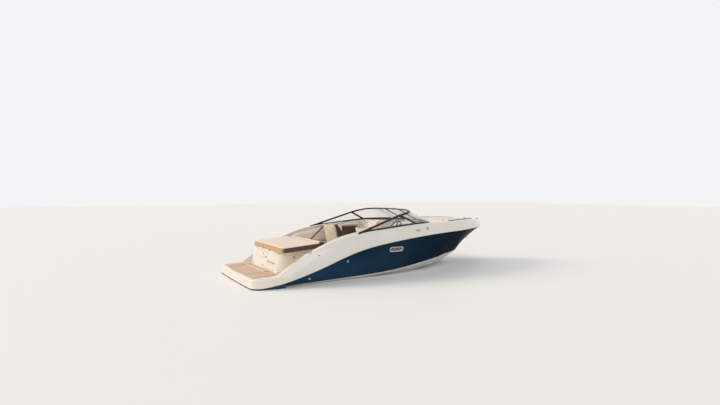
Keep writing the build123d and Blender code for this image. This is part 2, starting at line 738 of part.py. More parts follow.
def shield_solid(inset):
    """The windshield's envelope, drawn in by inset, closed across its after end."""
    with BuildPart() as solid:
        for level, plan in ((SHIELD_FOOT_Z, SHIELD_FOOT), (SHIELD_HEAD_Z, SHIELD_HEAD)):
            side, bend, front, middle = [
                (plan[key][0] + inset * inward[0], plan[key][1] + inset * inward[1])
                for key, inward in SHIELD_INWARD.items()
            ]
            with BuildSketch(Plane.XY.offset(level)):
                with BuildLine():
                    Line((SHIELD_AFT_X, side[1]), side)
                    ThreePointArc(side, bend, front)
                    ThreePointArc(front, middle, (front[0], -front[1]))
                    ThreePointArc((front[0], -front[1]), (bend[0], -bend[1]), (side[0], -side[1]))
                    Polyline((side[0], -side[1]), (SHIELD_AFT_X, -side[1]), (SHIELD_AFT_X, side[1]))
                make_face()
        loft()
    return solid.part


def shield_wall(outer_inset, thick):
    """A wall that follows the windshield, above the deck and under the rail's top."""
    outline = RAIL_LINE + [(1600, RAIL_LINE[-1][1]), (1600, 800), (RAIL_LINE[0][0], 800)]
    with BuildPart() as wall:
        add(shield_solid(outer_inset))
        add(shield_solid(outer_inset + thick), mode=Mode.SUBTRACT)
        add(plate(outline, -WIDE, WIDE), mode=Mode.INTERSECT)
        add(deck_body.part, mode=Mode.SUBTRACT)
        add(liner.part, mode=Mode.SUBTRACT)
    return wall.part


def raked(x_at_foot, wide, y0, y1):
    """A slab along the glass's rulings, through x_at_foot at the level of the foot."""
    rise = SHIELD_HEAD_Z - SHIELD_FOOT_Z
    run = SHIELD_RAKE * rise
    half = wide * math.hypot(1, SHIELD_RAKE) / 2
    outline = [
        (x_at_foot - half, SHIELD_FOOT_Z),
        (x_at_foot + half, SHIELD_FOOT_Z),
        (x_at_foot + half - run, SHIELD_HEAD_Z),
        (x_at_foot - half - run, SHIELD_HEAD_Z),
    ]
    return plate(outline, y0, y1)


frame_wall = shield_wall(0, FRAME_THICK)
glass_wall = shield_wall(7, GLASS_THICK)
rail_under = [(x, z - RAIL_HIGH) for x, z in RAIL_LINE] + [(1600, RAIL_LINE[-1][1] - RAIL_HIGH)]
rail_zone = plate(rail_under + [(1600, SKY), (RAIL_LINE[0][0], SKY)], -WIDE, WIDE)
foot_points = [(x, crown_z(x) + FOOT_RAIL_HIGH) for x in (-1120, -500, 300, 1000, 1600)]
foot_zone = plate(foot_points + [(1600, 700), (-1120, 700)], -WIDE, WIDE)
door_zone = box(-600, 1600, -DIVIDER_Y, DIVIDER_Y, 700, SKY)
post_zone = raked(POST_FOOT_X, POST_WIDE, -WIDE, WIDE)
end_zone = box(-WIDE, RAIL_END_X, -WIDE, WIDE, 700, SKY)

with BuildPart() as shield_bars:
    add(rail_zone)
    add(foot_zone)
    add(post_zone)
    add(end_zone)
    for side_sign in (-1, 1):
        y0, y1 = sorted((side_sign * DIVIDER_Y, side_sign * (DIVIDER_Y + DIVIDER_WIDE)))
        add(box(-600, 1600, y0, y1, 700, SKY))

with BuildPart() as windshield_frame:
    add(frame_wall)
    add(shield_bars.part, mode=Mode.INTERSECT)
    add(door_zone, mode=Mode.SUBTRACT)
ruling = (-SHIELD_RAKE, 0, 1)
save(hinged(windshield_frame.part, DOOR_HINGE, ruling, DOOR_HINGE_STARTS, True), "windshield_frame")

with BuildPart() as windshield_glass:
    add(glass_wall)
    add(shield_bars.part, mode=Mode.SUBTRACT)
    add(door_zone, mode=Mode.SUBTRACT)
save(windshield_glass.part, "windshield_glass")

door_half = DIVIDER_Y - DOOR_GAP
door_space = box(-600, 1600, -door_half, door_half, 700, SKY)
door_foot = plate([(x, crown_z(x) + 8) for x in (300, 1000, 1600)] + [(1600, SKY), (300, SKY)], -400, 400)
with BuildPart() as door_frame:
    add(frame_wall)
    add(door_space, mode=Mode.INTERSECT)
    add(door_foot, mode=Mode.INTERSECT)
    with BuildPart(mode=Mode.PRIVATE) as door_opening:
        add(box(-600, 1600, -door_half + STILE, door_half - STILE, 700, SKY))
        add(rail_zone, mode=Mode.SUBTRACT)
        add(foot_zone, mode=Mode.SUBTRACT)
    add(door_opening.part, mode=Mode.SUBTRACT)
save(hinged(door_frame.part, DOOR_HINGE, ruling, DOOR_HINGE_STARTS, False), "shield_door_frame")

with BuildPart() as door_glass:
    add(glass_wall)
    add(box(-600, 1600, -door_half + STILE, door_half - STILE, 700, SKY), mode=Mode.INTERSECT)
    add(rail_zone, mode=Mode.SUBTRACT)
    add(foot_zone, mode=Mode.SUBTRACT)
save(door_glass.part, "shield_door_glass")

# Bow cushions: two side seats and a nose pad, with backrests along the sides
with BuildPart() as bow_cushions:
    add(well(LINER + 2, DECK_END_X))
    add(box(BOW_WELL_X + LINER + 2, BOW_PAD_END_X, -1000, 1000, BOW_SEAT + SEAT_PANEL + 1, BOW_PAD_TOP),
        mode=Mode.INTERSECT)
    add(box(BOW_WELL_X, FOOTWELL_END_X - 20, -AISLE_HALF, AISLE_HALF, 500, SKY), mode=Mode.SUBTRACT)
save(bow_cushions.part, "bow_cushions")

with BuildPart() as bow_bolsters:
    add(well(LINER + 1, DECK_END_X))
    add(well(LINER + 1 + BOLSTER_THICK, DECK_END_X), mode=Mode.SUBTRACT)
    add(box(BOW_WELL_X + 140, 2600, -1000, 1000, BOW_PAD_TOP + 2, BOLSTER_TOP), mode=Mode.INTERSECT)
save(bow_bolsters.part, "bow_bolsters")

# Anchor locker lid, flush in the foredeck, which slopes down to the bow
with BuildPart() as anchor_lid:
    with BuildSketch(Plane.XY.offset(LOCKER_FLOOR)):
        with BuildLine():
            Polyline(*LOCKER_PLAN, close=True)
        make_face()
        offset(amount=-LID_GAP, kind=Kind.INTERSECTION)
    extrude(amount=300)
    lid_top = [(x, crown_z(x) - LID_SUNK) for x in (2900, 3120)]
    lid_under = [(x, z - ANCHOR_LID_THICK) for x, z in reversed(lid_top)]
    add(plate(lid_top + lid_under, -200, 200), mode=Mode.INTERSECT)
save(hinged(anchor_lid.part, lid_pivot, (0, 1, 0), LID_HINGE_STARTS, False), "anchor_lid")

# Fittings
with BuildPart() as hull_vent:
    vent_x, vent_z = VENT_PLACE
    vent_y = side_y(vent_x, vent_z)
    lean = math.atan2(side_y(vent_x, vent_z + 100) - vent_y, 100)
    vent_plane = Plane(
        origin=(vent_x, -vent_y, vent_z), x_dir=(1, 0, 0), z_dir=(0, -math.cos(lean), -math.sin(lean))
    )
    with BuildSketch(vent_plane.offset(-6)):
        SlotOverall(*VENT_SIZE)
    extrude(amount=16)
    add(hull_body.part, mode=Mode.SUBTRACT)
save(both_sides(hull_vent.part), "hull_vents")

with BuildPart() as through_hulls:
    for fit_x, fit_z in THROUGH_HULLS:
        fit_plane = Plane(origin=(fit_x, -side_y(fit_x, fit_z), fit_z), x_dir=(1, 0, 0), z_dir=(0, -1, -0.2))
        with BuildSketch(fit_plane.offset(-5)):
            Circle(THROUGH_HULL_RADIUS)
        extrude(amount=16)
    add(hull_body.part, mode=Mode.SUBTRACT)
save(through_hulls.part, "through_hulls")

# Towing eye on the stem
with BuildPart() as bow_eye:
    with BuildSketch(Plane(origin=(BOW_EYE[0], 9, BOW_EYE[1]), x_dir=(1, 0, 0), z_dir=(0, -1, 0))):
        Circle(BOW_EYE_BORE + 12)
        Rectangle(50, 2 * BOW_EYE_BORE + 10, align=(Align.MAX, Align.CENTER))
        Circle(BOW_EYE_BORE, mode=Mode.SUBTRACT)
    extrude(amount=18)
    add(hull_body.part, mode=Mode.SUBTRACT)
save(bow_eye.part, "bow_eye")

with BuildPart() as cleat:
    add(box(*CLEAT[0], *CLEAT[1], *CLEAT[2]))
    add(deck_body.part, mode=Mode.SUBTRACT)
save(both_sides(cleat.part), "stern_cleats")

# Sterndrive: housing on the transom, steering ring on upright pins, drive leg and propeller
pivot = (DRIVE_PIVOT_X, 0, DRIVE_PIVOT_Z)
with BuildPart() as gimbal_housing:
    with BuildSketch(Plane.YZ.offset(TRANSOM_X - 1)):
        with Locations((0, DRIVE_PIVOT_Z - 10)):
            RectangleRounded(400, 330, 90)
    extrude(amount=-28)
    for low in (DRIVE_PIVOT_Z + RING_RADIUS + 10, DRIVE_PIVOT_Z - RING_RADIUS - 30):
        with BuildSketch(Plane.XY.offset(low)):
            with Locations(((DRIVE_PIVOT_X + TRANSOM_X) / 2, 0)):
                Rectangle(TRANSOM_X - DRIVE_PIVOT_X - 4, 64)
            with Locations((DRIVE_PIVOT_X, 0)):
                Circle(32)
                Circle(PIN_RADIUS + 0.5, mode=Mode.SUBTRACT)
        extrude(amount=20)
save(gimbal_housing.part, "gimbal_housing")

with BuildPart() as gimbal_ring:
    with BuildSketch(Plane.YZ.offset(DRIVE_PIVOT_X - 25)):
        with Locations((0, DRIVE_PIVOT_Z)):
            Circle(RING_RADIUS)
            Circle(RING_RADIUS - 22, mode=Mode.SUBTRACT)
    extrude(amount=50)
    for start in (RING_RADIUS - 8, -RING_RADIUS - 30):
        with BuildSketch(Plane.XY.offset(DRIVE_PIVOT_Z + start)):
            with Locations((DRIVE_PIVOT_X, 0)):
                Circle(PIN_RADIUS)
        extrude(amount=38)
    with BuildSketch(Plane.XZ.offset(-RING_RADIUS - 10)):
        with Locations((DRIVE_PIVOT_X, DRIVE_PIVOT_Z)):
            Circle(PIN_RADIUS + 0.5)
    extrude(amount=2 * RING_RADIUS + 20, mode=Mode.SUBTRACT)
save(gimbal_ring.part, "gimbal_ring")

with BuildPart() as drive_leg:
    neck = [(38, -38), (38, 38), (-80, 38), (-92, 54), (-150, 66), (-205, 55), (-232, 10), (-232, -275),
            (-250, -282), (-250, -330), (-215, -470), (-90, -470), (-72, -330), (-58, -282), (-48, -200),
            (-44, -46), (-30, -38)]
    with BuildSketch(Plane(origin=(pivot[0], 40, pivot[2]), x_dir=(1, 0, 0), z_dir=(0, -1, 0))):
        with BuildLine():
            Polyline(*neck, close=True)
        make_face()
    extrude(amount=80)
    with BuildSketch(Plane(origin=(pivot[0], 56, pivot[2]), x_dir=(1, 0, 0), z_dir=(0, -1, 0))):
        with BuildLine():
            Polyline((-96, 46), (-150, 58), (-198, 48), (-222, 10), (-222, -190), (-96, -190), close=True)
        make_face()
    extrude(amount=112)
    with BuildSketch(Plane.XY.offset(PLATE_Z)):
        with BuildLine():
            ThreePointArc((PROP_X + 240, 62), (PROP_X + 285, 0), (PROP_X + 240, -62))
            Polyline((PROP_X + 240, -62), (PROP_X - 40, -108), (PROP_X - 110, -80), (PROP_X - 110, 80),
                     (PROP_X - 40, 108), (PROP_X + 240, 62))
        make_face()
    extrude(amount=10)
    with BuildSketch(Plane.YZ.offset(PROP_X + 66)):
        with Locations((0, PROP_Z)):
            Circle(58)
    extrude(amount=190)
    with BuildSketch(Plane.YZ.offset(PROP_X + 256)):
        with Locations((0, PROP_Z)):
            Circle(58)
    extrude(amount=95, taper=26)
    with BuildSketch(Plane(origin=(0, 9, 0), x_dir=(1, 0, 0), z_dir=(0, -1, 0))):
        with BuildLine():
            Polyline((PROP_X + 90, PROP_Z - 40), (PROP_X + 250, PROP_Z - 40), (PROP_X + 190, PROP_Z - 180),
                     (PROP_X + 112, PROP_Z - 190), close=True)
        make_face()
    extrude(amount=18)
    with BuildSketch(Plane.XZ.offset(-RING_RADIUS + 2)):
        with Locations((DRIVE_PIVOT_X, DRIVE_PIVOT_Z)):
            Circle(PIN_RADIUS)
    extrude(amount=2 * RING_RADIUS - 4)
save(drive_leg.part, "drive_leg")

with BuildPart() as propeller:
    with BuildSketch(Plane.YZ.offset(PROP_X + 60)):
        with Locations((0, PROP_Z)):
            Circle(HUB_RADIUS)
    extrude(amount=-130)
    for blade in range(PROP_BLADES):
        turn = 360 / PROP_BLADES * blade
        blade_plane = Plane(origin=(PROP_X, 0, PROP_Z)).rotated((turn, 0, 0))
        with BuildSketch(blade_plane.offset(30)):
            Rectangle(64, 9, rotation=32)
        with BuildSketch(blade_plane.offset(110)):
            Rectangle(128, 7, rotation=48)
        with BuildSketch(blade_plane.offset(PROP_RADIUS)):
            Rectangle(70, 3, rotation=60)
        loft()
save(propeller.part, "propeller")
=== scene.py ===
import json
import math

import bmesh
import bpy
from mathutils import Matrix, Vector
from mathutils.bvhtree import BVHTree

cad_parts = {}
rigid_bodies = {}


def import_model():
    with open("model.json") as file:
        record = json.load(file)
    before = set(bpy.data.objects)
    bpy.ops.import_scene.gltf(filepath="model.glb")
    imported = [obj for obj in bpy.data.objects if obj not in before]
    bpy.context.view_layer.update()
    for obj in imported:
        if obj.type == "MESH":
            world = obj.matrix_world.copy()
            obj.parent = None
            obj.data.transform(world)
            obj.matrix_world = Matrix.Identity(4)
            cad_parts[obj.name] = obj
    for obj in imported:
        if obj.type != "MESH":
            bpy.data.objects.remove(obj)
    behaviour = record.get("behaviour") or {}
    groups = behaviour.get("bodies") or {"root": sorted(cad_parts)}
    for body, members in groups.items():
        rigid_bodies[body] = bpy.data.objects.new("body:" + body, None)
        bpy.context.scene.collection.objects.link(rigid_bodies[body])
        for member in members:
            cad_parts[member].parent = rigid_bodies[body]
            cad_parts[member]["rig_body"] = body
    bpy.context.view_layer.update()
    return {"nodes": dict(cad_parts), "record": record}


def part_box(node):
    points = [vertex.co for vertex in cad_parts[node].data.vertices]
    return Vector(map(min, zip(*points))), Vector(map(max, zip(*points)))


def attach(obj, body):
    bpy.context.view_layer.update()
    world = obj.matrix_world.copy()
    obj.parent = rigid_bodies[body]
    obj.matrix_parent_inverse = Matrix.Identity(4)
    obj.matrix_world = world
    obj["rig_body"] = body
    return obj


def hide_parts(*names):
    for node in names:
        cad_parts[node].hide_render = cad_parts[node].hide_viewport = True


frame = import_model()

NODES = frame["nodes"]
SLOT_OF = {row["node"]: row["material_slot"] for row in frame["record"]["subparts"]}
SIDES = (-1, 1)
GATHER = bpy.context.scene.collection
UP = Vector((0, 0, 1))
DOWN = Vector((0, 0, -1))
AFT = Vector((-1, 0, 0))
FORWARD = Vector((1, 0, 0))
ABOVE_ALL = 2.0
BELOW_ALL = -2.0
BESIDE_ALL = 1.8


# Camera, at the photograph's viewing angle

CAMERA_PLACE = Vector((-5.696, -9.0, 1.702))
CAMERA_TURN = math.radians(-30.396)
CAMERA_DOWN = math.radians(1.151)
CAMERA_ROLL = math.radians(-0.029)
LENS_MM = 23.245
SENSOR_MM = 36.0
PHOTO_WIDE, PHOTO_HIGH = 720, 405
CAMERA_FRAME = (
    Matrix.Translation(CAMERA_PLACE)
    @ Matrix.Rotation(CAMERA_TURN, 4, "Z")
    @ Matrix.Rotation(math.pi / 2 - CAMERA_DOWN, 4, "X")
    @ Matrix.Rotation(CAMERA_ROLL, 4, "Z")
)
CAMERA_REACH = 200


def place_camera():
    camera = bpy.data.objects.new("camera", bpy.data.cameras.new("camera"))
    GATHER.objects.link(camera)
    camera.data.sensor_width = SENSOR_MM
    camera.data.lens = LENS_MM
    camera.data.clip_end = CAMERA_REACH
    camera.matrix_world = CAMERA_FRAME
    bpy.context.scene.camera = camera
    bpy.context.scene.view_settings.view_transform = "Standard"


# Light and floor. Each lamp has a name, a place, a spread in degrees, a strength and a colour

LAMPS = (
    ("key", (-9, 7, 6), 24, 1.9, (1.0, 0.83, 0.64)),
    ("fill", (-4, -9, 8), 50, 0.75, (1.0, 0.96, 0.92)),
)
SKY_LIGHT, SKY_STRENGTH = (1.0, 0.97, 0.92, 1), 0.60
BACKGROUND, BACKGROUND_STRENGTH = (0.97, 0.98, 1, 1), 0.92
FLOOR_COLOUR, FLOOR_ROUGH, FLOOR_REACH = (0.83, 0.855, 0.89, 1), 0.6, 60


def distant_lamp(name, place, spread_degrees, power, colour):
    """Even light from a direction, with soft shadows."""
    light = bpy.data.lights.new(name, "SUN")
    light.angle = math.radians(spread_degrees)
    light.energy = power
    light.color = colour
    lamp_object = bpy.data.objects.new(name, light)
    GATHER.objects.link(lamp_object)
    lamp_object.location = place
    lamp_object.rotation_euler = (-Vector(place)).to_track_quat("-Z", "Y").to_euler()


def seen_directly(tree):
    """One where the camera, a reflection or clear glass sees the surface, else nought."""
    path = tree.nodes.new("ShaderNodeLightPath")
    most = tree.nodes.new("ShaderNodeMath")
    most.operation = "MAXIMUM"
    tree.links.new(path.outputs["Is Camera Ray"], most.inputs[0])
    tree.links.new(path.outputs["Is Glossy Ray"], most.inputs[1])
    both = tree.nodes.new("ShaderNodeMath")
    both.operation = "MAXIMUM"
    tree.links.new(most.outputs[0], both.inputs[0])
    tree.links.new(path.outputs["Is Transmission Ray"], both.inputs[1])
    return both.outputs[0]


def light_the_world():
    world = bpy.data.worlds.new("studio")
    bpy.context.scene.world = world
    world.use_nodes = True
    tree = world.node_tree
    tree.nodes.clear()
    soft = tree.nodes.new("ShaderNodeBackground")
    soft.inputs["Color"].default_value = SKY_LIGHT
    soft.inputs["Strength"].default_value = SKY_STRENGTH
    shown = tree.nodes.new("ShaderNodeBackground")
    shown.inputs["Color"].default_value = BACKGROUND
    shown.inputs["Strength"].default_value = BACKGROUND_STRENGTH
    mix = tree.nodes.new("ShaderNodeMixShader")
    out = tree.nodes.new("ShaderNodeOutputWorld")
    tree.links.new(seen_directly(tree), mix.inputs["Fac"])
    tree.links.new(soft.outputs[0], mix.inputs[1])
    tree.links.new(shown.outputs[0], mix.inputs[2])
    tree.links.new(mix.outputs[0], out.inputs["Surface"])


def lay_floor():
    mesh = bpy.data.meshes.new("floor")
    corners = [(x * FLOOR_REACH, y * FLOOR_REACH, 0) for x, y in ((-1, -1), (1, -1), (1, 1), (-1, 1))]
    mesh.from_pydata(corners, [], [(0, 1, 2, 3)])
    floor = bpy.data.objects.new("floor", mesh)
    GATHER.objects.link(floor)
    material = bpy.data.materials.new("floor")
    material.use_nodes = True
    shader = material.node_tree.nodes["Principled BSDF"]
    shader.inputs["Base Color"].default_value = FLOOR_COLOUR
    shader.inputs["Roughness"].default_value = FLOOR_ROUGH
    mesh.materials.append(material)


# Finishes

NOISE, CELLS = "ShaderNodeTexNoise", "ShaderNodeTexVoronoi"


def shader_of(made):
    return made.node_tree.nodes["Principled BSDF"]


def finish(name, colour, rough, metal=0.0, coat=0.0, sheen=0.0):
    """A new material with its Principled shader set."""
    made = bpy.data.materials.new(name)
    made.use_nodes = True
    shader = shader_of(made)
    shader.inputs["Base Color"].default_value = (*colour, 1)
    shader.inputs["Roughness"].default_value = rough
    shader.inputs["Metallic"].default_value = metal
    shader.inputs["Coat Weight"].default_value = coat
    shader.inputs["Coat Roughness"].default_value = 0.06
    shader.inputs["Sheen Weight"].default_value = sheen
    return made


def own_place(made):
    """The piece's own coordinates."""
    tree = made.node_tree
    place = tree.nodes.get("place") or tree.nodes.new("ShaderNodeTexCoord")
    place.name = "place"
    return place.outputs["Object"]


def texture(made, kind, scale, **inputs):
    """A texture on the piece's own coordinates."""
    node = made.node_tree.nodes.new(kind)
    node.inputs["Scale"].default_value = scale
    for key, value in inputs.items():
        node.inputs[key].default_value = value
    made.node_tree.links.new(own_place(made), node.inputs["Vector"])
    return node.outputs["Fac" if kind == NOISE else "Distance"]


def spread(made, value, low, high, low_to=0, high_to=1):
    """A value brought from one range to another."""
    node = made.node_tree.nodes.new("ShaderNodeMapRange")
    for key, number in (("From Min", low), ("From Max", high), ("To Min", low_to), ("To Max", high_to)):
        node.inputs[key].default_value = number
    made.node_tree.links.new(value, node.inputs["Value"])
    return node.outputs["Result"]


def two_colours(made, factor, first, second):
    """Two colours, or two colour outputs, mixed by a factor."""
    mix = made.node_tree.nodes.new("ShaderNodeMix")
    mix.data_type = "RGBA"
    for key, colour in (("A", first), ("B", second)):
        if isinstance(colour, tuple):
            mix.inputs[key].default_value = (*colour, 1)
        else:
            made.node_tree.links.new(colour, mix.inputs[key])
    made.node_tree.links.new(factor, mix.inputs["Factor"])
    return mix.outputs["Result"]


def into(made, value, socket):
    made.node_tree.links.new(value, shader_of(made).inputs[socket])


def relief(made, value, depth, strength):
    """A bump, on top of any the material has already."""
    tree = made.node_tree
    bump = tree.nodes.new("ShaderNodeBump")
    bump.inputs["Distance"].default_value = depth
    bump.inputs["Strength"].default_value = strength
    tree.links.new(value, bump.inputs["Height"])
    normal = shader_of(made).inputs["Normal"]
    if normal.links:
        tree.links.new(normal.links[0].from_socket, bump.inputs["Normal"])
    tree.links.new(bump.outputs["Normal"], normal)


def along(made, direction, point=(0, 0, 0)):
    """How far a place lies past a point in a direction, in metres."""
    tree = made.node_tree
    less = tree.nodes.new("ShaderNodeVectorMath")
    less.operation = "SUBTRACT"
    less.inputs[1].default_value = point
    tree.links.new(own_place(made), less.inputs[0])
    dot = tree.nodes.new("ShaderNodeVectorMath")
    dot.operation = "DOT_PRODUCT"
    dot.inputs[1].default_value = direction
    tree.links.new(less.outputs["Vector"], dot.inputs[0])
    return dot.outputs["Value"]


def patchy(made, scale, first, second, low=0.3, high=0.7, **inputs):
    """Two colours in soft patches."""
    return two_colours(made, spread(made, texture(made, NOISE, scale, **inputs), low, high), first, second)


def dulled(made, scale, smooth, rough, low=0.3, high=0.75, **inputs):
    """A gloss that wanders between two roughnesses."""
    into(made, spread(made, texture(made, NOISE, scale, **inputs), low, high, smooth, rough), "Roughness")


def gelcoat(name, colour, shade, rough=0.16):
    """Moulded gloss resin, with its faint waviness and dull patches."""
    made = finish(name, colour, rough, coat=0.5)
    into(made, patchy(made, 1.7, colour, shade, low=0.35, Detail=4.0), "Base Color")
    dulled(made, 9.0, rough * 0.75, rough * 1.6, Detail=6.0)
    relief(made, texture(made, NOISE, 55.0, Detail=2.0), 0.0006, 0.25)
    return made


def side_gelcoat(name, aft, fore, top):
    """Dark blue resin, lighter aft and deeper towards the bow as painted reflection, and darker and greener
    towards the top.
    """
    made = finish(name, aft, 0.14, coat=0.13)
    shader_of(made).inputs["Specular IOR Level"].default_value = 0.0
    patches = texture(made, NOISE, 1.3, Detail=3.0)
    # Painted reflection: the blue runs from a lighter aft colour to a deeper forward one.
    length = two_colours(made, spread(made, along(made, (1, 0, 0)), -2.4, 1.2), aft, fore)
    height = spread(made, along(made, (-0.16, 0, 1)), 0.45, 0.95, 0, 0.8)
    tinted = two_colours(made, height, length, top)
    cloud = spread(made, patches, 0.4, 0.75, 0, 0.35)
    into(made, two_colours(made, cloud, tinted, tuple(c * 0.8 for c in fore)), "Base Color")
    dulled(made, 7.0, 0.09, 0.2, Detail=6.0)
    relief(made, texture(made, CELLS, 900.0), 0.0002, 0.12)
    return made


def vinyl(name, colour, shade, rough=0.5, edge=None, end=None):
    """Marine vinyl with a fine leather grain. An edge gives a second colour below planes: its
    colour, then each plane's direction and a point on it. An end gives a third below those, past its own
    plane: painted sunlight, a lit copy of the edge colour."""
    made = finish(name, colour, rough, sheen=0.06)
    worn_in = spread(made, texture(made, NOISE, 3.2, Detail=5.0, Roughness=0.6), 0.3, 0.72)
    colours = two_colours(made, worn_in, colour, shade)
    if edge:
        edge_colour, *planes = edge
        below = two_colours(made, worn_in, edge_colour, tuple(c * 0.8 for c in edge_colour))
        if end:
            # Painted sunlight: past its plane, the edge colour gives way to a lit copy of it.
            sunlit_colour, sunlit_direction, sunlit_point = end
            reach = spread(made, along(made, sunlit_direction, sunlit_point), -0.03, 0.025)
            below = two_colours(made, reach, below, sunlit_colour)
        for direction, point in planes:
            height = spread(made, along(made, direction, point), -0.0008, 0.0008)
            colours = two_colours(made, height, below, colours)
    into(made, colours, "Base Color")
    dulled(made, 14.0, rough - 0.09, rough + 0.1, high=0.7, Detail=3.0)
    relief(made, texture(made, CELLS, 420.0), 0.0005, 0.35)
    relief(made, texture(made, NOISE, 22.0, Detail=3.0), 0.0012, 0.3)
    return made


def decking(name, colour, shade, groove_dark, half_pitch=0.029, groove=0.0026):
    """Soft closed-cell decking, brushed lengthways, with routed grooves."""
    made = finish(name, colour, 0.75)
    base = patchy(made, 5.0, colour, shade, Detail=6.0, Roughness=0.65)
    pitch = made.node_tree.nodes.new("ShaderNodeMath")
    pitch.operation = "PINGPONG"
    pitch.inputs[1].default_value = half_pitch
    made.node_tree.links.new(along(made, (0, 1, 0)), pitch.inputs[0])
    line = spread(made, pitch.outputs[0], 0.0, groove, 1, 0)
    into(made, two_colours(made, line, base, groove_dark), "Base Color")
    relief(made, line, -0.0012, 0.8)
    relief(made, texture(made, NOISE, 190.0, Detail=2.0), 0.0006, 0.4)
    return made


def metal(name, colour, rough):
    """Polished or brushed metal with faint streaks."""
    made = finish(name, colour, rough, metal=1.0)
    scratches = texture(made, NOISE, 60.0, Detail=6.0, Roughness=0.7)
    into(made, spread(made, scratches, 0.3, 0.7, rough * 0.7, rough * 1.7), "Roughness")
    relief(made, scratches, 0.0002, 0.2)
    return made


def coated(name, colour, rough):
    """Powder coat, paint or moulded plastic with a fine pebble."""
    made = finish(name, colour, rough, coat=0.08)
    lighter = tuple(min(1.0, c * 1.35 + 0.004) for c in colour)
    into(made, patchy(made, 8.0, colour, lighter, Detail=4.0), "Base Color")
    relief(made, texture(made, NOISE, 240.0, Detail=2.0), 0.0004, 0.35)
    return made


def pane(name, tint):
    """Clear tinted glass with the odd water mark."""
    made = finish(name, tint, 0.0)
    shader_of(made).inputs["Transmission Weight"].default_value = 1.0
    shader_of(made).inputs["IOR"].default_value = 1.45
    dulled(made, 30.0, 0.0, 0.05, low=0.62, high=0.8, Detail=4.0)
    return made


def lens(name, colour, rough, ripple, coat=0.5):
    """A glossy screen or coloured lens with a faint ripple."""
    made = finish(name, colour, rough, coat=coat)
    relief(made, texture(made, NOISE, ripple), 0.0003, 0.3)
    return made


# The sunpad's own plane: its aft lower edge, its slope, and where its band gives way to the top

PAD_CORNER_POINT = Vector((-2.555, 0, 0.558))
PAD_TILT = math.radians(4.6)
PAD_SLOPE = Vector((math.cos(PAD_TILT), 0, math.sin(PAD_TILT)))
PAD_NORMAL = Vector((-math.sin(PAD_TILT), 0, math.cos(PAD_TILT)))
PAD_BAND_TOP = 0.092
PAD_BAND_PLANE = (tuple(PAD_NORMAL), tuple(PAD_CORNER_POINT + PAD_BAND_TOP * PAD_NORMAL))
# Past this plane, the band's aft end is painted as sunlit.
PAD_SUNLIT_END_PLANE = ((-1, 0, 0), (-2.525, 0, 0))
BACKREST_PLANES = (((0, 0, 1), (0, 0, 0.700)), ((0, 1, 0), (0, -0.545, 0)))

BROWN, BROWN_SHADE = (0.068, 0.040, 0.030), (0.050, 0.030, 0.023)
CREAM, CREAM_SHADE = (0.79, 0.71, 0.60), (0.74, 0.66, 0.55)
# PAINTED_SUNLIT_TAN is the band's brown painted as if in sunlight, for its aft end.
PAINTED_SUNLIT_TAN = (0.57, 0.33, 0.15)

FINISHES = {
    "hull_white": gelcoat("hull_white", (0.725, 0.705, 0.67), (0.685, 0.665, 0.63)),
    # hull_blue: its aft colour is lighter than its fore colour as painted reflection.
    "hull_blue": side_gelcoat("hull_blue", aft=(0.017, 0.060, 0.120), fore=(0.002, 0.009, 0.023),
                              top=(0.004, 0.022, 0.034)),
    "teak": decking("teak", (0.65, 0.485, 0.375), (0.58, 0.43, 0.33), groove_dark=(0.22, 0.15, 0.115)),
    "cushion_top": vinyl("cushion_top", (0.80, 0.655, 0.575), (0.76, 0.61, 0.535),
                         edge=(BROWN, PAD_BAND_PLANE), end=(PAINTED_SUNLIT_TAN, *PAD_SUNLIT_END_PLANE)),
    "cushion_brown": vinyl("cushion_brown", BROWN, BROWN_SHADE, rough=0.42),
    "seat_cream": vinyl("seat_cream", CREAM, CREAM_SHADE),
    "black_frame": coated("black_frame", (0.012, 0.012, 0.014), 0.32),
    "clear_glass": pane("clear_glass", (0.955, 0.94, 0.925)),
    "black_plastic": coated("black_plastic", (0.02, 0.02, 0.021), 0.45),
    "bright_metal": metal("bright_metal", (0.66, 0.66, 0.655), 0.14),
    "drive_paint": coated("drive_paint", (0.035, 0.036, 0.04), 0.3),
    "engine_grey": coated("engine_grey", (0.08, 0.08, 0.085), 0.4),
}
shader_of(FINISHES["black_frame"]).inputs["Specular IOR Level"].default_value = 0.25
PAD_PINK = vinyl("side_pad_vinyl", (0.84, 0.745, 0.655), (0.79, 0.70, 0.61))
BACKREST = vinyl("backrest_vinyl", CREAM, CREAM_SHADE, edge=(BROWN, *BACKREST_PLANES))
BASE_CREAM = gelcoat("base_gelcoat", (0.80, 0.745, 0.665), (0.76, 0.705, 0.625))
# Stainless darkened as a painted reflection: the fittings mirror dark surroundings.
REFLECTION_DARKENED_METAL = metal("reflection_darkened_metal", (0.36, 0.35, 0.34), 0.28)
SEAM_GREY = coated("seam_grey", (0.33, 0.30, 0.27), 0.5)
SCREEN = lens("screen_glass", (0.006, 0.008, 0.011), 0.08, 30.0, coat=0.6)
LENS_RED = lens("red_lens", (0.45, 0.02, 0.01), 0.15, 260.0)
LENS_GREEN = lens("green_lens", (0.01, 0.30, 0.10), 0.15, 260.0)


# Putting pieces in the frame

SMOOTH_SKIN = math.radians(34)
SMOOTH_FITTING = math.radians(38)
SAME_POINT = 2e-5
FLAT = math.radians(0.4)


def mesh_from(shape, name):
    """A shape made a mesh, its faces turned outwards."""
    bmesh.ops.recalc_face_normals(shape, faces=shape.faces)
    mesh = bpy.data.meshes.new(name)
    shape.to_mesh(mesh)
    shape.free()
    return mesh


def bridge(shape, rings):
    """Faces between each ring of points and the next."""
    for first, second in zip(rings, rings[1:]):
        for i in range(len(first)):
            after = (i + 1) % len(first)
            shape.faces.new((first[i], first[after], second[after], second[i]))


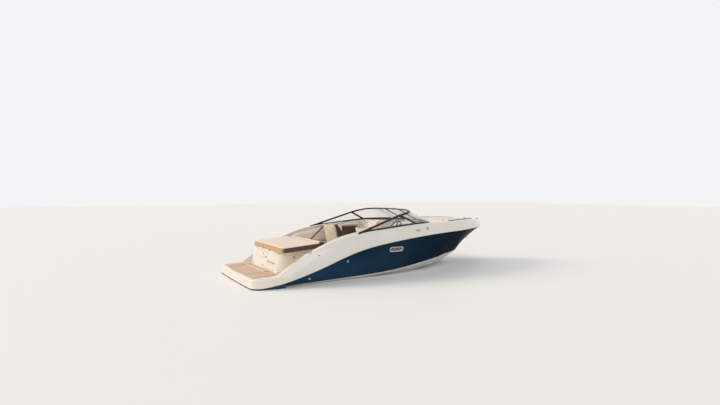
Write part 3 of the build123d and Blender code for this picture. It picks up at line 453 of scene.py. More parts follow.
def settle(piece, body, slot_name, *replaced):
    """Put a finished piece on its body, in place of CAD nodes if any are named. The slot name is not used."""
    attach(piece, body)
    if replaced:
        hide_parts(*replaced)
    return piece


def new_piece(name, mesh, material):
    piece = bpy.data.objects.new(name, mesh)
    GATHER.objects.link(piece)
    mesh.materials.clear()
    mesh.materials.append(material)
    return piece


def joined_copy(node):
    """A CAD node's mesh with its doubles merged and its flat faces made whole."""
    mesh = NODES[node].data.copy()
    shape = bmesh.new()
    shape.from_mesh(mesh)
    bmesh.ops.remove_doubles(shape, verts=shape.verts, dist=SAME_POINT)
    bmesh.ops.dissolve_limit(shape, angle_limit=FLAT, verts=shape.verts, edges=shape.edges)
    shape.to_mesh(mesh)
    shape.free()
    return mesh


def smoothed(piece, angle, bevel, harden):
    """Smooth shading up to an angle, with the sharper edges eased."""
    piece.data.shade_smooth()
    piece.data.set_sharp_from_angle(angle=angle)
    if bevel:
        ease = piece.modifiers.new("ease", "BEVEL")
        ease.width = bevel
        ease.segments = 2
        ease.limit_method = "ANGLE"
        ease.angle_limit = angle
        ease.harden_normals = harden


def skin(node, material=None, bevel=0.0):
    """A smooth-shaded copy of a rigid node, its edges eased, in place of it."""
    slot_name = SLOT_OF[node]
    piece = new_piece(node + "_skin", joined_copy(node), material or FINISHES[slot_name])
    smoothed(piece, SMOOTH_SKIN, bevel, harden=True)
    return settle(piece, NODES[node]["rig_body"], slot_name, node)


def gathered(name, meshes, slot_name, *replaced, body="hull", look=None, bevel=0.0):
    """Several meshes made one piece, in its slot's finish unless it has a look of its own."""
    shape = bmesh.new()
    for mesh in meshes:
        shape.from_mesh(mesh)
    for face in shape.faces:
        face.material_index = 0
    whole = bpy.data.meshes.new(name)
    shape.to_mesh(whole)
    shape.free()
    piece = new_piece(name, whole, look or FINISHES[slot_name])
    smoothed(piece, SMOOTH_FITTING, bevel, harden=False)
    return settle(piece, body, slot_name, *replaced)


# Finding places on the pieces

def surface_of(*pieces):
    """A tree for finding where a line of sight meets the faces of some pieces."""
    depsgraph = bpy.context.evaluated_depsgraph_get()
    points, faces = [], []
    for piece in pieces:
        mesh = piece.evaluated_get(depsgraph).to_mesh()
        start = len(points)
        points.extend(vertex.co.copy() for vertex in mesh.vertices)
        faces.extend([start + index for index in face.vertices] for face in mesh.polygons)
        piece.evaluated_get(depsgraph).to_mesh_clear()
    return BVHTree.FromPolygons(points, faces)


def met(tree, start, way):
    """Where a line first meets a surface, and the outward normal there, or nothing."""
    place, normal, _, _ = tree.ray_cast(Vector(start), Vector(way).normalized())
    if place is None:
        return None
    return place, (normal if normal.dot(Vector(way)) < 0 else -normal)


def from_above(tree, x, y):
    return met(tree, (x, y, ABOVE_ALL), DOWN)


def sighted(tree, pixel):
    """Where the camera's line of sight through a point of the photograph meets a surface."""
    focal = LENS_MM / SENSOR_MM * PHOTO_WIDE
    across, down = pixel
    seen = Vector(((across - PHOTO_WIDE / 2) / focal, (PHOTO_HIGH / 2 - down) / focal, -1))
    return met(tree, CAMERA_PLACE, CAMERA_FRAME.to_3x3() @ seen)


# Node trees that run a section along a path and set a shape out at points

def new_tree(name, *inputs):
    """A Geometry Nodes tree with a geometry input, the inputs named and a geometry output."""
    tree = bpy.data.node_groups.new(name, "GeometryNodeTree")
    tree.interface.new_socket("Geometry", in_out="INPUT", socket_type="NodeSocketGeometry")
    for label, kind in inputs:
        tree.interface.new_socket(label, in_out="INPUT", socket_type=kind)
    tree.interface.new_socket("Geometry", in_out="OUTPUT", socket_type="NodeSocketGeometry")
    return tree, tree.nodes.new("NodeGroupInput"), tree.nodes.new("NodeGroupOutput")


def end_tree(tree, made, given, out):
    """Realize Instances and Set Material, on the way out."""
    real = tree.nodes.new("GeometryNodeRealizeInstances")
    material = tree.nodes.new("GeometryNodeSetMaterial")
    tree.links.new(made, real.inputs[0])
    tree.links.new(real.outputs[0], material.inputs["Geometry"])
    tree.links.new(given.outputs["Material"], material.inputs["Material"])
    tree.links.new(material.outputs[0], out.inputs[0])


def piping_tree():
    """A round section run along the lines of a mesh."""
    tree, given, out = new_tree("piping", ("Radius", "NodeSocketFloat"), ("Sides", "NodeSocketInt"),
                                ("Material", "NodeSocketMaterial"))
    line = tree.nodes.new("GeometryNodeMeshToCurve")
    circle = tree.nodes.new("GeometryNodeCurvePrimitiveCircle")
    run = tree.nodes.new("GeometryNodeCurveToMesh")
    run.inputs["Fill Caps"].default_value = True
    tree.links.new(given.outputs["Geometry"], line.inputs["Mesh"])
    tree.links.new(given.outputs["Sides"], circle.inputs["Resolution"])
    tree.links.new(given.outputs["Radius"], circle.inputs["Radius"])
    tree.links.new(line.outputs[0], run.inputs["Curve"])
    tree.links.new(circle.outputs[0], run.inputs["Profile Curve"])
    end_tree(tree, run.outputs[0], given, out)
    return tree


def studs_tree():
    """A shape set at every point of a mesh, its Z along the point's own aim."""
    tree, given, out = new_tree("studs", ("Shape", "NodeSocketObject"), ("Size", "NodeSocketFloat"),
                                ("Material", "NodeSocketMaterial"))
    shape = tree.nodes.new("GeometryNodeObjectInfo")
    aim = tree.nodes.new("GeometryNodeInputNamedAttribute")
    aim.data_type = "FLOAT_VECTOR"
    aim.inputs["Name"].default_value = "aim"
    turn = tree.nodes.new("FunctionNodeAlignRotationToVector")
    turn.axis = "Z"
    points = tree.nodes.new("GeometryNodeMeshToPoints")
    set_out = tree.nodes.new("GeometryNodeInstanceOnPoints")
    tree.links.new(given.outputs["Shape"], shape.inputs["Object"])
    tree.links.new(aim.outputs["Attribute"], turn.inputs["Vector"])
    tree.links.new(given.outputs["Geometry"], points.inputs["Mesh"])
    tree.links.new(points.outputs[0], set_out.inputs["Points"])
    tree.links.new(shape.outputs["Geometry"], set_out.inputs["Instance"])
    tree.links.new(turn.outputs["Rotation"], set_out.inputs["Rotation"])
    tree.links.new(given.outputs["Size"], set_out.inputs["Scale"])
    end_tree(tree, set_out.outputs[0], given, out)
    return tree


PIPING = piping_tree()
STUDS = studs_tree()


def grown(guide_mesh, tree, **inputs):
    """What a node tree makes of a guide mesh, as a plain mesh."""
    guide = bpy.data.objects.new("guide", guide_mesh)
    GATHER.objects.link(guide)
    grow = guide.modifiers.new("grow", "NODES")
    grow.node_group = tree
    for item in tree.interface.items_tree:
        if item.in_out == "INPUT" and item.name in inputs:
            grow[item.identifier] = inputs[item.name]
    depsgraph = bpy.context.evaluated_depsgraph_get()
    made = bpy.data.meshes.new_from_object(guide.evaluated_get(depsgraph))
    bpy.data.objects.remove(guide)
    return made


def studs(name, stud_mesh, places, slot_name):
    """One shape set out at places on a surface, standing out from it, as one piece."""
    stud = bpy.data.objects.new("stud", stud_mesh)
    GATHER.objects.link(stud)
    guide = bpy.data.meshes.new("guide")
    guide.from_pydata([tuple(place) for place, _ in places], [], [])
    aims = [number for _, normal in places for number in normal]
    guide.attributes.new("aim", "FLOAT_VECTOR", "POINT").data.foreach_set("vector", aims)
    made = grown(guide, STUDS, Shape=stud, Size=1.0, Material=FINISHES[slot_name])
    gathered(name, [made], slot_name)
    bpy.data.objects.remove(stud)


def rod(points, radius, closed=False, sides=10):
    """A round rod, cord of piping or bead along a line of points."""
    line = bpy.data.meshes.new("line")
    edges = [(i, i + 1) for i in range(len(points) - 1)]
    if closed:
        edges.append((len(points) - 1, 0))
    line.from_pydata([tuple(point) for point in points], edges, [])
    shape = bmesh.new()
    shape.from_mesh(grown(line, PIPING, Radius=radius, Sides=sides, Material=FINISHES["black_plastic"]))
    return mesh_from(shape, "rod")


def rounded_line(points, share=0.25, times=2):
    """A line of points with its corners cut again and again, to round them."""
    line = [Vector(point) for point in points]
    for _ in range(times):
        cut = [line[0]]
        pairs = list(zip(line, line[1:]))
        for number, (first, second) in enumerate(pairs):
            if number > 0:
                cut.append(first.lerp(second, share))
            if number < len(pairs) - 1:
                cut.append(first.lerp(second, 1 - share))
        cut.append(line[-1])
        line = cut
    return line


def aimed(place, aim):
    """The frame of a fitting that stands on a surface: Z along its aim, X as level as it can be."""
    z = Vector(aim).normalized()
    x = UP.cross(z)
    if x.length < 0.05:
        x = Vector((1, 0, 0))
    x.normalize()
    return Matrix.Translation(place) @ Matrix((x, z.cross(x), z)).transposed().to_4x4()


def turned(profile, where, steps=28, wide=1.0):
    """A turned fitting: a profile of radius and height, spun about the frame's Z."""
    shape = bmesh.new()
    rings = []
    for radius, height in profile:
        if radius == 0:
            rings.append([shape.verts.new((0, 0, height))])
        else:
            angles = [2 * math.pi * step / steps for step in range(steps)]
            rings.append([shape.verts.new((wide * radius * math.cos(a), radius * math.sin(a), height))
                          for a in angles])
    for low, high in zip(rings, rings[1:]):
        for step in range(steps):
            after = (step + 1) % steps
            corners = [low[step % len(low)], low[after % len(low)]]
            corners += [high[after % len(high)], high[step % len(high)]]
            shape.faces.new(list(dict.fromkeys(corners)))
    for ring in (rings[0], rings[-1]):
        if len(ring) > 1:
            shape.faces.new(ring)
    shape.transform(where)
    return mesh_from(shape, "turned")


def pressed(outline, where, low, high, ease):
    """A plate over an outline in the frame's X and Y, with its upper edge eased."""
    shape = bmesh.new()
    middle = sum((Vector(point) for point in outline), Vector((0, 0))) / len(outline)
    rings = []
    for height, drawn_in in ((low, 0.0), (high - ease, 0.0), (high, ease)):
        ring = []
        for point in outline:
            out = Vector(point) - middle
            place = middle + out * max(0.0, 1 - drawn_in / max(out.length, 1e-6))
            ring.append(shape.verts.new((place.x, place.y, height)))
        rings.append(ring)
    bridge(shape, rings)
    shape.faces.new(rings[0])
    shape.faces.new(rings[-1])
    shape.transform(where)
    return mesh_from(shape, "pressed")


def rounded_outline(wide, high, corner, steps=6):
    """A rectangle with round corners about the origin. Its corners may be as round as its height."""
    points = []
    for across, up, start in ((1, 1, 0), (-1, 1, 90), (-1, -1, 180), (1, -1, 270)):
        centre = Vector((across * (wide / 2 - corner), up * (high / 2 - corner)))
        for step in range(steps + 1):
            angle = math.radians(start + 90 * step / steps)
            points.append(centre + corner * Vector((math.cos(angle), math.sin(angle))))
    return points


# Skins of the rigid nodes, and the width that eases the edges of the moulded and cast ones

CUSHIONS = ("sunpad_cushion", "bench_cushion", "bench_backrest", "side_pads", "side_panels",
            "helm_seat_pads", "companion_seat_pads", "helm_seat_shell", "companion_seat_shell",
            "bow_cushions", "bow_bolsters")
REMADE = ("hull_vents", "through_hulls", "stern_cleats", "throttle")
EASED = {
    "swim_platform": 0.004, "sunpad_base": 0.006, "helm_dash": 0.012, "port_dash": 0.012,
    "bench_base": 0.006, "windshield_frame": 0.003, "shield_door_frame": 0.003,
    "platform_decking": 0.002, "drive_leg": 0.006, "engine": 0.012, "anchor_lid": 0.003,
    "engine_hatch": 0.003, "gimbal_housing": 0.004,
}
OWN_FINISH = {"sunpad_base": BASE_CREAM, "swim_platform": BASE_CREAM}
TRANSOM_X = -2.55


def whiten_inside(mesh):
    """White resin on the faces of the blue side that look up or into the boat."""
    mesh.materials.append(FINISHES["hull_white"])
    for face in mesh.polygons:
        outward = face.normal.y * (1 if face.center.y > 0 else -1)
        if face.center.x > TRANSOM_X and (face.normal.z > 0.5 or outward < -0.2):
            face.material_index = 1


place_camera()
light_the_world()
for lamp in LAMPS:
    distant_lamp(*lamp)
lay_floor()
SKINS = {node: skin(node, OWN_FINISH.get(node), EASED.get(node, 0.0))
         for node in SLOT_OF if node not in CUSHIONS + REMADE}
whiten_inside(SKINS["hull_topsides"].data)
TOPSIDES = surface_of(SKINS["hull_topsides"])
BOTTOM = surface_of(SKINS["hull_bottom"])
DECK = surface_of(SKINS["deck"])
BASE = surface_of(SKINS["sunpad_base"])
HELM_DASH = surface_of(SKINS["helm_dash"])
PORT_DASH = surface_of(SKINS["port_dash"])


# Cushions, blown up from slightly smaller copies of their solids

PRESSURE = 4.0
LAST_FRAME = 20
CLOTH = {
    "quality": 4, "mass": 0.3, "tension_stiffness": 15, "compression_stiffness": 15,
    "shear_stiffness": 5, "bending_stiffness": 0.8, "use_pressure": True,
    "uniform_pressure_force": PRESSURE, "vertex_group_mass": "held",
}
swelling = []


def relax(shape, times, factor):
    """Each point drawn towards its neighbours, a few times over."""
    for _ in range(times):
        bmesh.ops.smooth_vert(shape, verts=shape.verts, factor=factor, use_axis_x=True,
                              use_axis_y=True, use_axis_z=True)


def start_cushion(node, voxel, inset, cap, rests, material=None):
    """A remeshed, slightly smaller copy of a soft node, held where it rests, ready to swell."""
    mesh = joined_copy(node)
    piece = new_piece(node + "_upholstery", mesh, material or FINISHES[SLOT_OF[node]])
    mesh.remesh_voxel_size = voxel
    mesh.remesh_voxel_adaptivity = 0
    bpy.context.view_layer.objects.active = piece
    piece.select_set(True)
    bpy.ops.object.voxel_remesh()
    piece.select_set(False)
    shape = bmesh.new()
    shape.from_mesh(piece.data)
    relax(shape, 3, 0.5)
    shape.normal_update()
    normals = [vertex.normal.copy() for vertex in shape.verts]
    held = [number for number, vertex in enumerate(shape.verts) if rests(vertex.co, normals[number])]
    resting = set(held)
    for number, vertex in enumerate(shape.verts):
        vertex.co -= normals[number] * (inset * 0.25 if number in resting else inset)
    shape.to_mesh(piece.data)
    shape.free()
    piece.vertex_groups.new(name="held").add(held, 1.0, "REPLACE")
    air = piece.modifiers.new("air", "CLOTH")
    for key, value in CLOTH.items():
        setattr(air.settings, key, value)
    air.settings.effector_weights.gravity = 0
    air.point_cache.frame_start = 1
    air.point_cache.frame_end = LAST_FRAME
    swelling.append((node, piece, cap))


def swell_cushions():
    """Let every cushion fill, keep each point within its cap, and finish them."""
    scene = bpy.context.scene
    for frame_number in range(1, LAST_FRAME + 1):
        scene.frame_set(frame_number)
    depsgraph = bpy.context.evaluated_depsgraph_get()
    full = {}
    for node, piece, cap in swelling:
        full[node] = [vertex.co.copy() for vertex in piece.evaluated_get(depsgraph).data.vertices]
    for node, piece, cap in swelling:
        for modifier in list(piece.modifiers):
            piece.modifiers.remove(modifier)
        for vertex, swollen in zip(piece.data.vertices, full[node]):
            step = swollen - vertex.co
            if step.length > 1e-6:
                vertex.co += step * (cap * math.tanh(step.length / cap) / step.length)
        shape = bmesh.new()
        shape.from_mesh(piece.data)
        relax(shape, 2, 0.4)
        shape.to_mesh(piece.data)
        shape.free()
        piece.vertex_groups.clear()
        piece.data.shade_smooth()
        finer = piece.modifiers.new("finer", "SUBSURF")
        finer.levels = 1
        finer.render_levels = 1
        settle(piece, NODES[node]["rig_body"], SLOT_OF[node], node)
    scene.frame_set(1)


def on_its_underside(place, normal):
    return normal.z < -0.6


def on_its_back(place, normal):
    return normal.x < -0.6


def on_the_side(place, normal):
    return normal.y * place.y > 0.6 * abs(place.y)


def in_its_shell(place, normal):
    return normal.z < -0.5 or normal.x < -0.7


start_cushion("sunpad_cushion", voxel=0.0155, inset=0.003, cap=0.012, rests=on_its_underside)
start_cushion("bench_cushion", voxel=0.0145, inset=0.008, cap=0.020, rests=on_its_underside)
start_cushion("bench_backrest", voxel=0.0155, inset=0.006, cap=0.015, rests=on_its_back, material=BACKREST)
start_cushion("side_pads", voxel=0.015, inset=0.007, cap=0.013, rests=on_the_side, material=PAD_PINK)
start_cushion("side_panels", voxel=0.0145, inset=0.006, cap=0.009, rests=on_the_side)
for seat in ("helm_seat", "companion_seat"):
    start_cushion(seat + "_shell", voxel=0.0145, inset=0.004, cap=0.006, rests=on_its_underside)
    start_cushion(seat + "_pads", voxel=0.0135, inset=0.005, cap=0.011, rests=in_its_shell)
start_cushion("bow_cushions", voxel=0.0165, inset=0.007, cap=0.018, rests=on_its_underside)
start_cushion("bow_bolsters", voxel=0.0165, inset=0.006, cap=0.013, rests=on_the_side, material=PAD_PINK)
swell_cushions()
PADS = {node: piece for node, piece, cap in swelling}


# Piping round the sunpad, and its skirt

PAD_HALF_LONG = 0.418
SKIRT_LONG, SKIRT_WIDE, SKIRT_CORNER, SKIRT_Y = 0.84, 1.76, 0.095, 0.12
SKIRT_SECTION = ((0.013, 0.009), (0.004, 0.009), (0.001, 0.016), (0.002, 0.028), (0.013, 0.028))


def pad_place(along_pad, y, height):
    """A place in the sunpad's own plane."""
    place = PAD_CORNER_POINT + PAD_SLOPE * along_pad + PAD_NORMAL * height
    place.y = y
    return place


def pad_seam(height, inward):
    """A line round the sunpad at a height above its own plane, on its sides."""
    tree = surface_of(PADS["sunpad_cushion"])
    low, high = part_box("sunpad_cushion")
    centre_y = (low.y + high.y) / 2
    line = []
    for point in rounded_outline(2 * PAD_HALF_LONG, high.y - low.y, 0.1, 8):
        inside = pad_place(PAD_HALF_LONG + point.x * 0.7, centre_y + point.y * 0.85, height)
        outside = pad_place(PAD_HALF_LONG + point.x * 1.6, centre_y + point.y * 1.2, height)
        found = met(tree, outside, inside - outside)
        if found:
            line.append(found[0] - found[1] * inward)
    return line


def pad_skirt():
    """The upholstery's lower edge, which wraps the lid's rim."""
    shape = bmesh.new()
    rings = []
    for inset, height in SKIRT_SECTION:
        outline = rounded_outline(SKIRT_LONG - 2 * inset, SKIRT_WIDE - 2 * inset, SKIRT_CORNER - inset, 8)
        rings.append([shape.verts.new(pad_place(SKIRT_LONG / 2 + point.x, SKIRT_Y + point.y, height))
                      for point in outline])
    bridge(shape, rings + rings[:1])
    return mesh_from(shape, "skirt")


gathered("sunpad_piping", [rod(pad_seam(PAD_BAND_TOP, 0.002), 0.0036, closed=True)], "cushion_brown",
         body="hatch")
gathered("sunpad_skirt", [pad_skirt()], "cushion_top", body="hatch")


# Piping of the swivel seats, and the seam at the back of each shell

SEAT_PLACES = {"helm_seat": (-0.375, -0.50, 0.360), "companion_seat": (-0.640, 0.520, 0.386)}
BACK_RECLINE = math.radians(12)
BACK_FORWARD = Vector((math.cos(BACK_RECLINE), 0, math.sin(BACK_RECLINE)))
BACK_UP = Vector((-math.sin(BACK_RECLINE), 0, math.cos(BACK_RECLINE)))
BACK_FOOT = Vector((-0.272, 0, 0.054))
BACK_HOLLOW = 0.42
OUTER_ARCH = {"half": 0.243, "top": 0.552, "corner": 0.088, "out": 0.3865}
INNER_ARCH = {"half": 0.240, "top": 0.548, "corner": 0.086, "out": 0.3200}
ARCH_FOOT = 0.08
BACK_PANEL = ((-0.165, 0.10), (-0.165, 0.43), (-0.12, 0.485), (0.12, 0.485), (0.165, 0.43), (0.165, 0.10))
BACK_PANEL_OUT = 0.4195


def back_point(place, across, up, out):
    """A place on a swivel seat's back: across it, up it, and out from the hollow's middle."""
    deep = BACK_HOLLOW - math.sqrt(out * out - across * across)
    return Vector(place) + BACK_FOOT + BACK_FORWARD * deep + Vector((0, across, 0)) + BACK_UP * up


def arch(place, half, top, corner, out):
    """The outline of a seat's back, up one side, over and down the other."""
    line = [(-half, ARCH_FOOT + (top - corner - ARCH_FOOT) * step / 6) for step in range(6)]
    line += [(-half + corner - corner * math.cos(a), top - corner + corner * math.sin(a))
             for a in (math.radians(90 * step / 8) for step in range(9))]
    line += [(half * (step / 5 - 1) * (1 - corner / half), top) for step in range(1, 5)]
    line += [(-across, up) for across, up in reversed(line)]
    return [back_point(place, across, up, out) for across, up in line]


for seat, place in SEAT_PLACES.items():
    seams = [rod(arch(place, **OUTER_ARCH), 0.0055), rod(arch(place, **INNER_ARCH), 0.0040)]
    gathered(seat + "_piping", seams, "seat_cream", body=seat)
    panel = [back_point(place, across, up, BACK_PANEL_OUT) for across, up in BACK_PANEL]
    gathered(seat + "_back_seam", [rod(rounded_line(panel, 0.2), 0.0028)], "seat_cream", body=seat,
             look=PAD_PINK)


# Seams of the aft bench

BENCH_SEAMS_Y = (-0.06, 0.47)
BENCH_SEAT_X = (-1.57, -1.235)
BENCH_BACK_X = -1.0
BENCH_BACK_Z = (0.48, 0.725)
SEAM_RADIUS = 0.0035


def across_pad(node, start, end, way, steps=24):
    """A line of places on a cushion, found along a way from start to end."""
    tree = surface_of(PADS[node])
    line = []
    for step in range(steps + 1):
        found = met(tree, Vector(start).lerp(Vector(end), step / steps), way)
        if found:
            line.append(found[0])
    return line


bench_seams = []
for y in BENCH_SEAMS_Y:
    over_seat = [(x, y, 1) for x in BENCH_SEAT_X]
    up_back = [(BENCH_BACK_X, y, z) for z in BENCH_BACK_Z]
    bench_seams.append(rod(across_pad("bench_cushion", *over_seat, way=DOWN), SEAM_RADIUS))
    bench_seams.append(rod(across_pad("bench_backrest", *up_back, way=AFT), SEAM_RADIUS))
gathered("bench_seams", bench_seams, "cushion_brown")


# Dark strip over the leaning seam of the side pads

STRIP_X, STRIP_Y, STRIP_Z = (-1.229, -0.846), 0.999, (0.575, 0.915)
gathered("side_pad_strips", [rod([(x, side * STRIP_Y, z) for x, z in zip(STRIP_X, STRIP_Z)], 0.016, sides=8)
                             for side in SIDES], "black_plastic")


# Dark rod along the foot of the white deck band, a painted shadow of the band's overhang, and the bright
# strip down the stem

SHADOW_LINE_START_X, SHADOW_LINE_STEP, SHADOW_LINE_STEPS = -2.652, 0.06, 97
SHADOW_LINE_NOSE_X = [3.185, 3.205, 3.220, 3.232]
SHADOW_LINE_TIP = Vector((3.2405, 0, 0.846))
SHADOW_LINE_FROM_Y, SHADOW_LINE_SUNK = 1.6, 0.005
BAND_SEARCH = 0.02
NOTHING_MET = 9.0
STEM_TOP, STEM_STEP = 0.82, 0.0125


def band_foot(x, side):
    """Where the deck band meets the blue side at x."""
    def outer(z):
        start = Vector((x, side * SHADOW_LINE_FROM_Y, z))
        way = Vector((0, -side, 0))
        return [(found[0] - start).length if found else NOTHING_MET
                for found in (met(DECK, start, way), met(TOPSIDES, start, way))]

    def deck_is_outer(z):
        deck_far, blue_far = outer(z)
        return deck_far < blue_far and deck_far < NOTHING_MET

    low = 0.0
    while low < 1.0 and not deck_is_outer(low + BAND_SEARCH):
        low += BAND_SEARCH
    high = low + BAND_SEARCH
    for _ in range(12):
        middle = (low + high) / 2
        if deck_is_outer(middle):
            high = middle
        else:
            low = middle
    deck_far, _ = outer(high + 0.0005)
    return Vector((x, side * (SHADOW_LINE_FROM_Y - SHADOW_LINE_SUNK - deck_far), high))


shadow_line_x = [SHADOW_LINE_START_X + step * SHADOW_LINE_STEP for step in range(SHADOW_LINE_STEPS)] + SHADOW_LINE_NOSE_X
rub_line = [band_foot(x, -1) for x in shadow_line_x] + [SHADOW_LINE_TIP] + [band_foot(x, 1) for x in reversed(shadow_line_x)]
# A dark rod where the band's overhang casts its shadow: painted shadow.
gathered("rub_line", [rod(rub_line, 0.0055, sides=8)], "black_plastic")

STEM = surface_of(SKINS["hull_topsides"], SKINS["hull_bottom"])
stem_places = [met(STEM, (5, 0, STEM_TOP - step * STEM_STEP), AFT) for step in range(40)]
stem_line = [found[0] + Vector((-0.002, 0, 0)) for found in stem_places if found]
gathered("stem_strip", [rod(stem_line, 0.012)], "bright_metal")


# Hull bottom: a plate over each slot that the engine bay leaves beside the keel

PLATE_START_X, PLATE_STEP, PLATE_STEPS = -2.566, 0.0391, 20
SOUND_Y = (0.415, 0.495)
PLATE_SECTION = ((0.09, -0.0004), (0.91, -0.0004), (0.91, 0.004), (0.09, 0.004))


def bottom_plate(side):
    """A thin plate flush with the hull bottom, between the sound faces on both sides of the slot."""
    shape = bmesh.new()
    rings = []
    for step in range(PLATE_STEPS):
        x = PLATE_START_X + step * PLATE_STEP
        inner, outer = [met(BOTTOM, (x, side * y, BELOW_ALL), UP)[0] for y in SOUND_Y]
        rings.append([shape.verts.new(inner.lerp(outer, share) + UP * lift) for share, lift in PLATE_SECTION])
    bridge(shape, rings)
    shape.faces.new(rings[0])
    shape.faces.new(rings[-1])
    return mesh_from(shape, "bottom_plate")


gathered("bottom_plates", [bottom_plate(side) for side in SIDES], "hull_white")


# Side vents: a bright rim, a dark back and slanting slats

VENT_LOW, VENT_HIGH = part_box("hull_vents")
VENT_X = (VENT_LOW.x + VENT_HIGH.x) / 2
VENT_Z = (VENT_LOW.z + VENT_HIGH.z) / 2
VENT_LONG, VENT_DEEP = 0.352, 0.104
SLAT_PITCH, SLATS, SLAT_LEAN = 0.034, 9, 0.008


def on_the_blue(side, across, up, lift):
    """A place on the blue side beside the vent's middle."""
    found = met(TOPSIDES, (VENT_X + across, side * BESIDE_ALL, VENT_Z + up), (0, -side, 0))
    return found[0] + found[1] * lift


def vent_outline(within):
    """The vent's oval, drawn in by a width."""
    return rounded_outline(VENT_LONG - within, VENT_DEEP - within, (VENT_DEEP - within - 0.001) / 2, 9)


def vent_back(side):
    """The dark plate behind the slats, facing out."""
    shape = bmesh.new()
    rings = [[shape.verts.new(on_the_blue(side, p.x * share, p.y * share, 0.0015))
              for p in vent_outline(0.016)] for share in (0.97, 0.6, 0.25)]
    bridge(shape, rings)
    shape.faces.new(rings[-1])
    bmesh.ops.recalc_face_normals(shape, faces=shape.faces)
    if sum(face.normal.y for face in shape.faces) * side < 0:
        bmesh.ops.reverse_faces(shape, faces=shape.faces)
    mesh = bpy.data.meshes.new("back")
    shape.to_mesh(mesh)
    shape.free()
    return mesh


vent_rims, vent_slats = [], []
for side in SIDES:
    for within, lift, radius, sides in ((0.016, 0.004, 0.008, 12), (0.03, 0.005, 0.0035, 10)):
        rim = [on_the_blue(side, p.x, p.y, lift) for p in vent_outline(within)]
        vent_rims.append(rod(rim, radius, closed=True, sides=sides))
    for number in range(SLATS):
        across = (number - SLATS // 2) * SLAT_PITCH
        reach = 0.026 if number in (0, SLATS - 1) else 0.034
        slat = [on_the_blue(side, across + share * SLAT_LEAN, share * reach, 0.005 if share else 0.009)
                for share in (-1, 0, 1)]
        vent_slats.append(rod(slat, 0.0045, sides=6))
gathered("vent_rims", vent_rims, "bright_metal", "hull_vents")
gathered("vent_backs", [vent_back(side) for side in SIDES], "black_plastic")
gathered("vent_slats", vent_slats, "bright_metal")


# Through-hull outlets, turned, with a dark bore

OUTLETS = ((-1.405, 0.395), (-2.175, 0.125))
OUTLET_PROFILE = ((0.0125, -0.002), (0.0125, 0.007), (0.015, 0.0105), (0.019, 0.010), (0.0235, 0.004),
                  (0.024, -0.003))
BORE_PROFILE = ((0.0124, 0.001), (0.006, 0.002), (0, 0.002))
outlets = [aimed(*met(TOPSIDES, (x, -BESIDE_ALL, z), (0, 1, 0))) for x, z in OUTLETS]
gathered("outlet_rings", [turned(OUTLET_PROFILE, there) for there in outlets], "bright_metal",
         "through_hulls")
gathered("outlet_bores", [turned(BORE_PROFILE, there) for there in outlets], "black_plastic")


# Cleats, fuel filler and fender eye

STERN_CLEAT = (-2.135, 1.112)
MID_CLEAT_PIXEL = (418.0, 230.3)
BOW_CLEAT = (2.93, 0.222)
CLEAT_FOOT = ((0.016, -0.004), (0.016, 0.001), (0.0135, 0.0035), (0, 0.0035))
HALF_HORN = ((0.02, 0.019), (0.045, 0.022), (0.062, 0.026))
CLEAT_LEGS = (-0.019, 0.019)
FILLER_PIXEL = (427.5, 228.5)
FILLER_PROFILE = ((0.034, -0.002), (0.034, 0.002), (0.031, 0.004), (0.026, 0.004), (0.024, 0.0025),
                  (0.006, 0.0025), (0.004, 0.0045), (0, 0.0045))
EYE_PIXEL = (319.0, 255.4)
EYE_PROFILE = ((0.013, -0.002), (0.013, 0.002), (0.009, 0.004), (0.006, 0.001), (0, 0.001))


def cleat(place, normal, heading):
    """A horn cleat on an oval foot."""
    there = aimed(place, normal)
    run = heading - normal * normal.dot(heading)
    turn = math.atan2(run.dot(there.col[1].xyz), run.dot(there.col[0].xyz))
    there = there @ Matrix.Rotation(turn, 4, "Z")
    section = [(-x, z) for x, z in reversed(HALF_HORN)] + list(HALF_HORN)
    horn = [there @ Vector((x, 0, z)) for x, z in section]
    legs = [rod([there @ Vector((x, 0, z)) for z in (0, 0.020)], 0.0065) for x in CLEAT_LEGS]
    return [turned(CLEAT_FOOT, there, wide=2.3), rod(rounded_line(horn), 0.0062)] + legs


mid_cleat_place, _ = sighted(DECK, MID_CLEAT_PIXEL)
cleat_parts = []
for x, y in (STERN_CLEAT, (mid_cleat_place.x, -mid_cleat_place.y), BOW_CLEAT):
    for side in SIDES:
        place, normal = from_above(DECK, x, side * y)
        ahead, _ = from_above(DECK, x + 0.05, side * y)
        cleat_parts.extend(cleat(place, normal, ahead - place))
# The cleats, filler and fender eye take metal darkened as a painted dark reflection.
gathered("cleats", cleat_parts, "bright_metal", "stern_cleats", look=REFLECTION_DARKENED_METAL)
filler_there = aimed(*sighted(DECK, FILLER_PIXEL))
gathered("fuel_filler", [turned(FILLER_PROFILE, filler_there)], "bright_metal", look=REFLECTION_DARKENED_METAL)
eye_there = aimed(*sighted(DECK, EYE_PIXEL))
gathered("fender_eye", [turned(EYE_PROFILE, eye_there, wide=2.0)], "bright_metal", look=REFLECTION_DARKENED_METAL)


# Bow lights on the nose, one lens to each side, and the roller plate behind them

